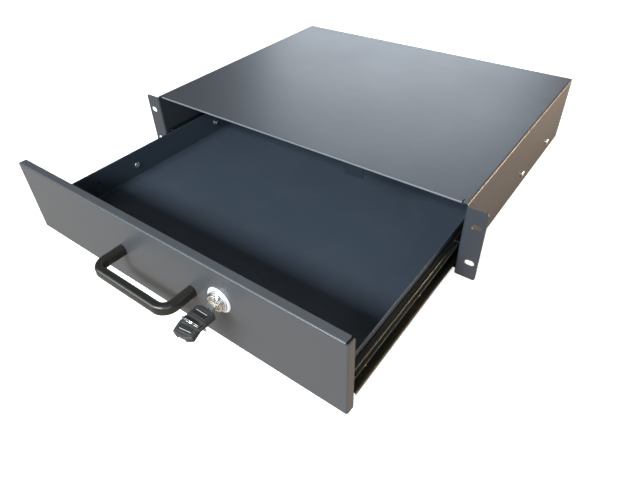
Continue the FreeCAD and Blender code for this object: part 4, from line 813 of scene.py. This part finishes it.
def plug_face_rings(inner, outer, front, notch_angles):
    """A raised ring on the plug's face, cut by radial notches that mark its positions.

    The ring's height follows a low dome across its width, and falls to nought inside each
    notch, whose edges are short slopes in the angle.
    """
    angle = np.linspace(0, 2 * np.pi, 180, endpoint=False)
    cut = np.zeros_like(angle)
    for notch in notch_angles:
        away = np.abs((angle - notch + np.pi) % (2 * np.pi) - np.pi)
        cut = np.maximum(cut, np.clip((math.radians(6.5) - away) / math.radians(2.5), 0, 1))
    rings = []
    for share in np.linspace(0, 1, 9):
        radius = inner + (outer - inner) * share
        height = 0.32 * mm * (1 - abs(2 * share - 1) ** 3) * (1 - 0.92 * cut)
        rings.append(circle(radius, angle, height))
    for radius in (outer, inner):
        rings.append(circle(radius, angle, -0.1 * mm))
    return carried_to(np.array(rings), (lock_axis[0], front, lock_axis[2]), (0, -1, 0))


plug_front, collar_front = -205.4 * mm, -205.88 * mm
face = plug_face_rings(5.0 * mm, 6.4 * mm, plug_front, np.radians((0, 90, 180, 270)))
new_piece("lock_plug_face_ring", [shell(face, loop=True)], plug_nickel, "plug")


def mark_rings(centre, outward_angle, inner, outer, width, front):
    """One narrow engraved index mark: a rounded bar that runs outwards from the lock's middle."""
    share = np.linspace(0, 1, 10)
    reach = inner + (outer - inner) * share
    way = np.array((math.cos(outward_angle), 0.0, math.sin(outward_angle)))
    path = np.array(centre) + reach[:, None] * way
    path[:, 1] = front
    return carried(path, rounded_loop(width, 0.12 * mm, 0.05 * mm, 16), (0.0, 1.0, 0.0))


marks = [shell(mark_rings(lock_axis, angle, 6.95 * mm, 8.2 * mm, 0.5 * mm, collar_front))
         for angle in np.radians((0, 90, 180))]
new_piece("lock_index_marks", marks, plug_dark, "drawer")


# Keys. Each has a flat nickel-plated blade with milled grooves, hinged in a moulded black head:
# an arched block with a framed grip pad, and behind it a thin end plate with the ring's hole.
# One is in the lock, and the other hangs from it on a split ring of flat spring wire.

key_nickel = plated("key nickel", (0.80, 0.79, 0.76), (0.55, 0.53, 0.50), 0.20, (60.0, 500.0, 60.0))
for name in ("key_blade", "spare_key_blade", "key_pin", "spare_key_pin"):
    dress(name, key_nickel, 0.00012)


def moulded(title, deep, raised, roughness, grain_height):
    """Moulded plastic: two close dark tones, a fine spark-eroded grain and rubbed high spots."""
    material, tree, here = new_material(title)
    texture = use(tree, orange_peel, {"Place": here, "Fineness": 2600.0})
    rubbed = use(tree, handling_marks, {"Place": here, "Stretch": (220.0, 60.0, 220.0)}).outputs["Mask"]
    tone = mixed(tree, texture.outputs["Mottle"], deep, raised)
    close_material(tree, {
        "Base Color": mixed(tree, rubbed, tone, (0.10, 0.10, 0.10)),
        "Roughness": ramp(tree, texture.outputs["Height"], 0.3, 0.7, roughness - 0.05, roughness + 0.08),
        "Normal": relief(tree, texture.outputs["Height"], 0.5, grain_height)})
    return material


head_plastic = moulded("key head plastic", (0.026, 0.025, 0.024), (0.040, 0.039, 0.038), 0.36, 0.00004)
pad_plastic = moulded("key grip pad", (0.003, 0.003, 0.004), (0.006, 0.006, 0.007), 0.60, 0.00006)
# The pad's far edge carries a light grey bead: a painted highlight of the light on that edge.
pad_edge_highlight_grey = moulded("pad edge painted highlight", (0.34, 0.35, 0.36), (0.42, 0.43, 0.44), 0.35, 0.00002)

key_hinge = np.array((lock_across, -215.0 * mm, lock_height))
spare_hinge = np.array((81.086623, -240.155483, -1.8203)) * mm
yaw, tilt = math.radians(188.0), math.radians(-16.0)
level_turn = np.array([[math.cos(yaw), -math.sin(yaw), 0], [math.sin(yaw), math.cos(yaw), 0], [0, 0, 1]])
nose_down = np.array([[1, 0, 0], [0, math.cos(tilt), -math.sin(tilt)], [0, math.sin(tilt), math.cos(tilt)]])
spare_turn = level_turn @ nose_down


def bead(path, width, height, closed=True):
    """A raised bead on a level face: a half-round section, its foot sunk a little, along a path."""
    foot, upright = 0.35, np.array((0.0, 0.0, 1.0))
    angle = np.linspace(-foot, np.pi + foot, 11)
    section = np.stack([width / 2 * np.cos(angle) / math.cos(foot), height * np.sin(angle)], axis=1)
    if not closed:
        return shell(carried(path, section, upright))
    along = np.roll(path, -1, axis=0) - np.roll(path, 1, axis=0)
    along /= np.linalg.norm(along, axis=1)[:, None]
    across = np.cross(along, upright)
    grid = path[:, None, :] + section[None, :, :1] * across[:, None, :] + section[None, :, 1:] * upright
    return shell(grid, loop=True)


head_half, head_front, head_side = 11.0 * mm, 3.0 * mm, -0.6 * mm
head_step, head_back = -12.0 * mm, -18.8 * mm
head_top, head_under, plate_top = 2.0 * mm, -3.2 * mm, -0.9 * mm
ring_hole = np.array((7.2, -15.2)) * mm


def arch_loop(inset, height, slot=None):
    """The block's edge brought in by inset: an arched front, two straight sides and a back.

    Where slot is given, as half its width and where it ends, the front runs back round the
    slot in which the blade is hinged.
    """
    rise = head_front - head_side
    radius = (head_half ** 2 + rise ** 2) / (2 * rise)
    middle, half, reach = head_front - radius, head_half - inset, radius - inset
    if slot:
        turn = np.linspace(math.asin(half / reach), math.asin(slot[0] / reach), 24)
        right = np.stack([reach * np.sin(turn), middle + reach * np.cos(turn)], axis=1)
        down = np.stack([np.full(6, slot[0]), np.linspace(right[-1, 1], slot[1], 7)[1:]], axis=1)
        across = np.stack([np.linspace(slot[0], -slot[0], 9)[1:-1], np.full(7, slot[1])], axis=1)
        mirrored = np.concatenate([right, down])[::-1] * np.array((-1.0, 1.0))
        front = np.concatenate([right, down, across, mirrored])
    else:
        turn = np.linspace(math.asin(half / reach), -math.asin(half / reach), 67)
        front = np.stack([reach * np.sin(turn), middle + reach * np.cos(turn)], axis=1)
    side = np.linspace(front[-1, 1], head_step + min(inset, 0.4 * mm), 18)[1:]
    rear = np.linspace(-half, half, 32)[1:-1]
    points = np.concatenate([front, np.stack([side * 0 - half, side], axis=1),
                             np.stack([rear, rear * 0 + side[-1]], axis=1),
                             np.stack([side[::-1] * 0 + half, side[::-1]], axis=1)])
    return np.column_stack([points, np.full(len(points), height)])


def head_block():
    """The block as two closed layers: below the slot's ceiling, with the slot, and above it.

    The top edge slopes in as fast as it rises, and ends in a small curve.
    """
    ceiling, slot = 1.15 * mm, (4.55 * mm, -1.55 * mm)
    low = [arch_loop(0.35 * mm, head_under, slot), arch_loop(0.10 * mm, head_under + 0.08 * mm, slot),
           arch_loop(0.0, head_under + 0.35 * mm, slot), arch_loop(0.0, 0.25 * mm, slot),
           arch_loop(0.10 * mm, 0.5 * mm, slot), arch_loop(0.75 * mm, ceiling, slot)]
    high = [arch_loop(0.75 * mm, ceiling), arch_loop(1.40 * mm, 1.80 * mm), arch_loop(1.58 * mm, 1.95 * mm),
            arch_loop(1.80 * mm, head_top)]
    return [shell(np.array(low)), shell(np.array(high))]


def end_plate():
    """The thin plate as a closed loop of rings: round its outer edge and through the ring's hole.

    Each point of the hole lies in the same direction from its middle as one of the outer edge.
    """
    edge = rounded_loop(21.96 * mm, 12.0 * mm, 4.0 * mm, 160) + (0.0, head_back + 6.0 * mm)
    away = edge - ring_hole
    away /= np.linalg.norm(away, axis=1)[:, None]
    reach = 2.2 * mm + 0.4 * mm * away[:, 0] ** 2
    rows = [(0.30, 0.0, head_under), (0.06, 0.0, head_under + 0.07 * mm), (0.0, 0.0, head_under + 0.3 * mm),
            (0.0, 0.0, plate_top - 0.3 * mm), (0.06, 0.0, plate_top - 0.07 * mm), (0.30, 0.0, plate_top),
            (0.0, 0.25, plate_top), (0.0, 0.05, plate_top - 0.08 * mm), (0.0, 0.01, plate_top - 0.3 * mm),
            (0.0, 0.01, head_under + 0.3 * mm), (0.0, 0.05, head_under + 0.08 * mm),
            (0.0, 0.25, head_under)]
    rings = []
    for count, (inset, wider, height) in enumerate(rows):
        if count < 6:
            points = edge - away * inset * mm
        else:
            points = ring_hole + away * (reach + wider * mm)[:, None]
        rings.append(np.column_stack([points, np.full(len(points), height)]))
    return [shell(np.array(rings), loop=True)]


pad_half, pad_back, pad_front = 7.4 * mm, -9.2 * mm, -3.0 * mm
ridge_spacing, ridge_start, pad_under = 0.9 * mm, -6.6 * mm, 1.7 * mm


def grip_rings():
    """The grip pad on the block: ridges across it, as a cosine of the distance along it."""
    across, back = np.meshgrid(np.linspace(-pad_half, pad_half, 120), np.linspace(pad_back, pad_front, 34),
                               indexing="ij")
    from_edge = np.minimum(pad_half - np.abs(across), np.minimum(back - pad_back, pad_front - back))
    edge = np.clip(from_edge / (0.4 * mm), 0, 1)
    wave = 0.5 + 0.5 * np.cos(2 * np.pi * (back - ridge_start) / ridge_spacing)
    top = np.stack([across, back, head_top - 0.05 * mm + edge * (0.07 * mm + 0.04 * mm * wave)], axis=2)
    return np.concatenate([top, top[:, ::-1] * (1, 1, 0) + (0, 0, pad_under)], axis=1)


def key_head(prefix, node, hinge, turn, body):
    """One head: block and plate, the framed grip pad, and beads round the face and the hole."""
    def place(shells):
        return [(points @ np.array(turn).T + hinge, faces) for points, faces in shells]
    shells = place(head_block() + end_plate())
    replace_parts(new_piece(f"{prefix}_head", shells, head_plastic, body), node)
    frame_loop = rounded_loop(15.9 * mm, 7.2 * mm, 0.7 * mm, 96)
    frame_path = np.column_stack([frame_loop[:, 0], frame_loop[:, 1] - 6.1 * mm, np.full(96, head_top)])
    bright = np.column_stack([np.linspace(-6.6, 6.2, 30) * mm, np.full(30, -4.7 * mm),
                              np.full(30, head_top + 0.1 * mm)])
    hole_loop = rounded_loop(5.9 * mm, 5.1 * mm, 2.5 * mm, 64) + ring_hole
    hole_path = np.column_stack([hole_loop, np.full(64, plate_top)])
    beads = [bead(frame_path, 0.7 * mm, 0.22 * mm), bead(hole_path, 0.6 * mm, 0.25 * mm)]
    new_piece(f"{prefix}_head_beads", place(beads), head_plastic, body)
    new_piece(f"{prefix}_grip_pad", place([shell(grip_rings())]), pad_plastic, body)
    # A light grey bead along the pad's far edge: a painted highlight.
    edge = place([bead(bright, 0.6 * mm, 0.2 * mm, closed=False)])
    new_piece(f"{prefix}_pad_edge", edge, pad_edge_highlight_grey, body)


key_head("working_key", "key_bow", key_hinge, np.eye(3), "key_head")
key_head("spare_key", "spare_key_bow", spare_hinge, spare_turn, "spare_key")


def split_ring(centre, out, radius, wire):
    """A split ring: two turns of flat wire side by side, crossing over once.

    The angle runs through almost two turns. The place along the axis is minus a quarter of
    the wire in the first turn and plus a quarter in the second, joined by a smooth step.
    """
    crossing, start = 0.35, 2.4
    angle = np.linspace(crossing + 0.12, 4 * np.pi - 0.10, 260)
    step = np.clip((angle - 2 * np.pi) / crossing, 0, 1)
    layer = (step * step * (3 - 2 * step) - 0.5) * wire * 1.02
    third = np.array(out) / np.linalg.norm(out)
    first = np.cross((0.0, 0.0, 1.0), third)
    first /= np.linalg.norm(first)
    second = np.cross(third, first)
    way = np.cos(angle + start)[:, None] * first + np.sin(angle + start)[:, None] * second
    section = rounded_loop(wire, wire * 0.48, wire * 0.16, 20)
    path = np.array(centre) + radius * way + layer[:, None] * third
    return path[:, None, :] + section[None, :, :1] * way[:, None, :] + section[None, :, 1:] * third


ring_steel = plated("bright spring wire", (0.93, 0.93, 0.93), (0.80, 0.79, 0.77), 0.16, (8.0, 8.0, 8.0),
                    tarnish=0.2)
ring_centre, ring_tilt = np.array((83.1, -227.5321, 2.8291)) * mm, math.radians(30)
ring_out = (0.0, -math.cos(ring_tilt), -math.sin(ring_tilt))
coil = split_ring(ring_centre, ring_out, 11.6 * mm, 1.1 * mm)
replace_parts(new_piece("split_key_ring", [shell(coil)], ring_steel, "ring"), "key_ring")
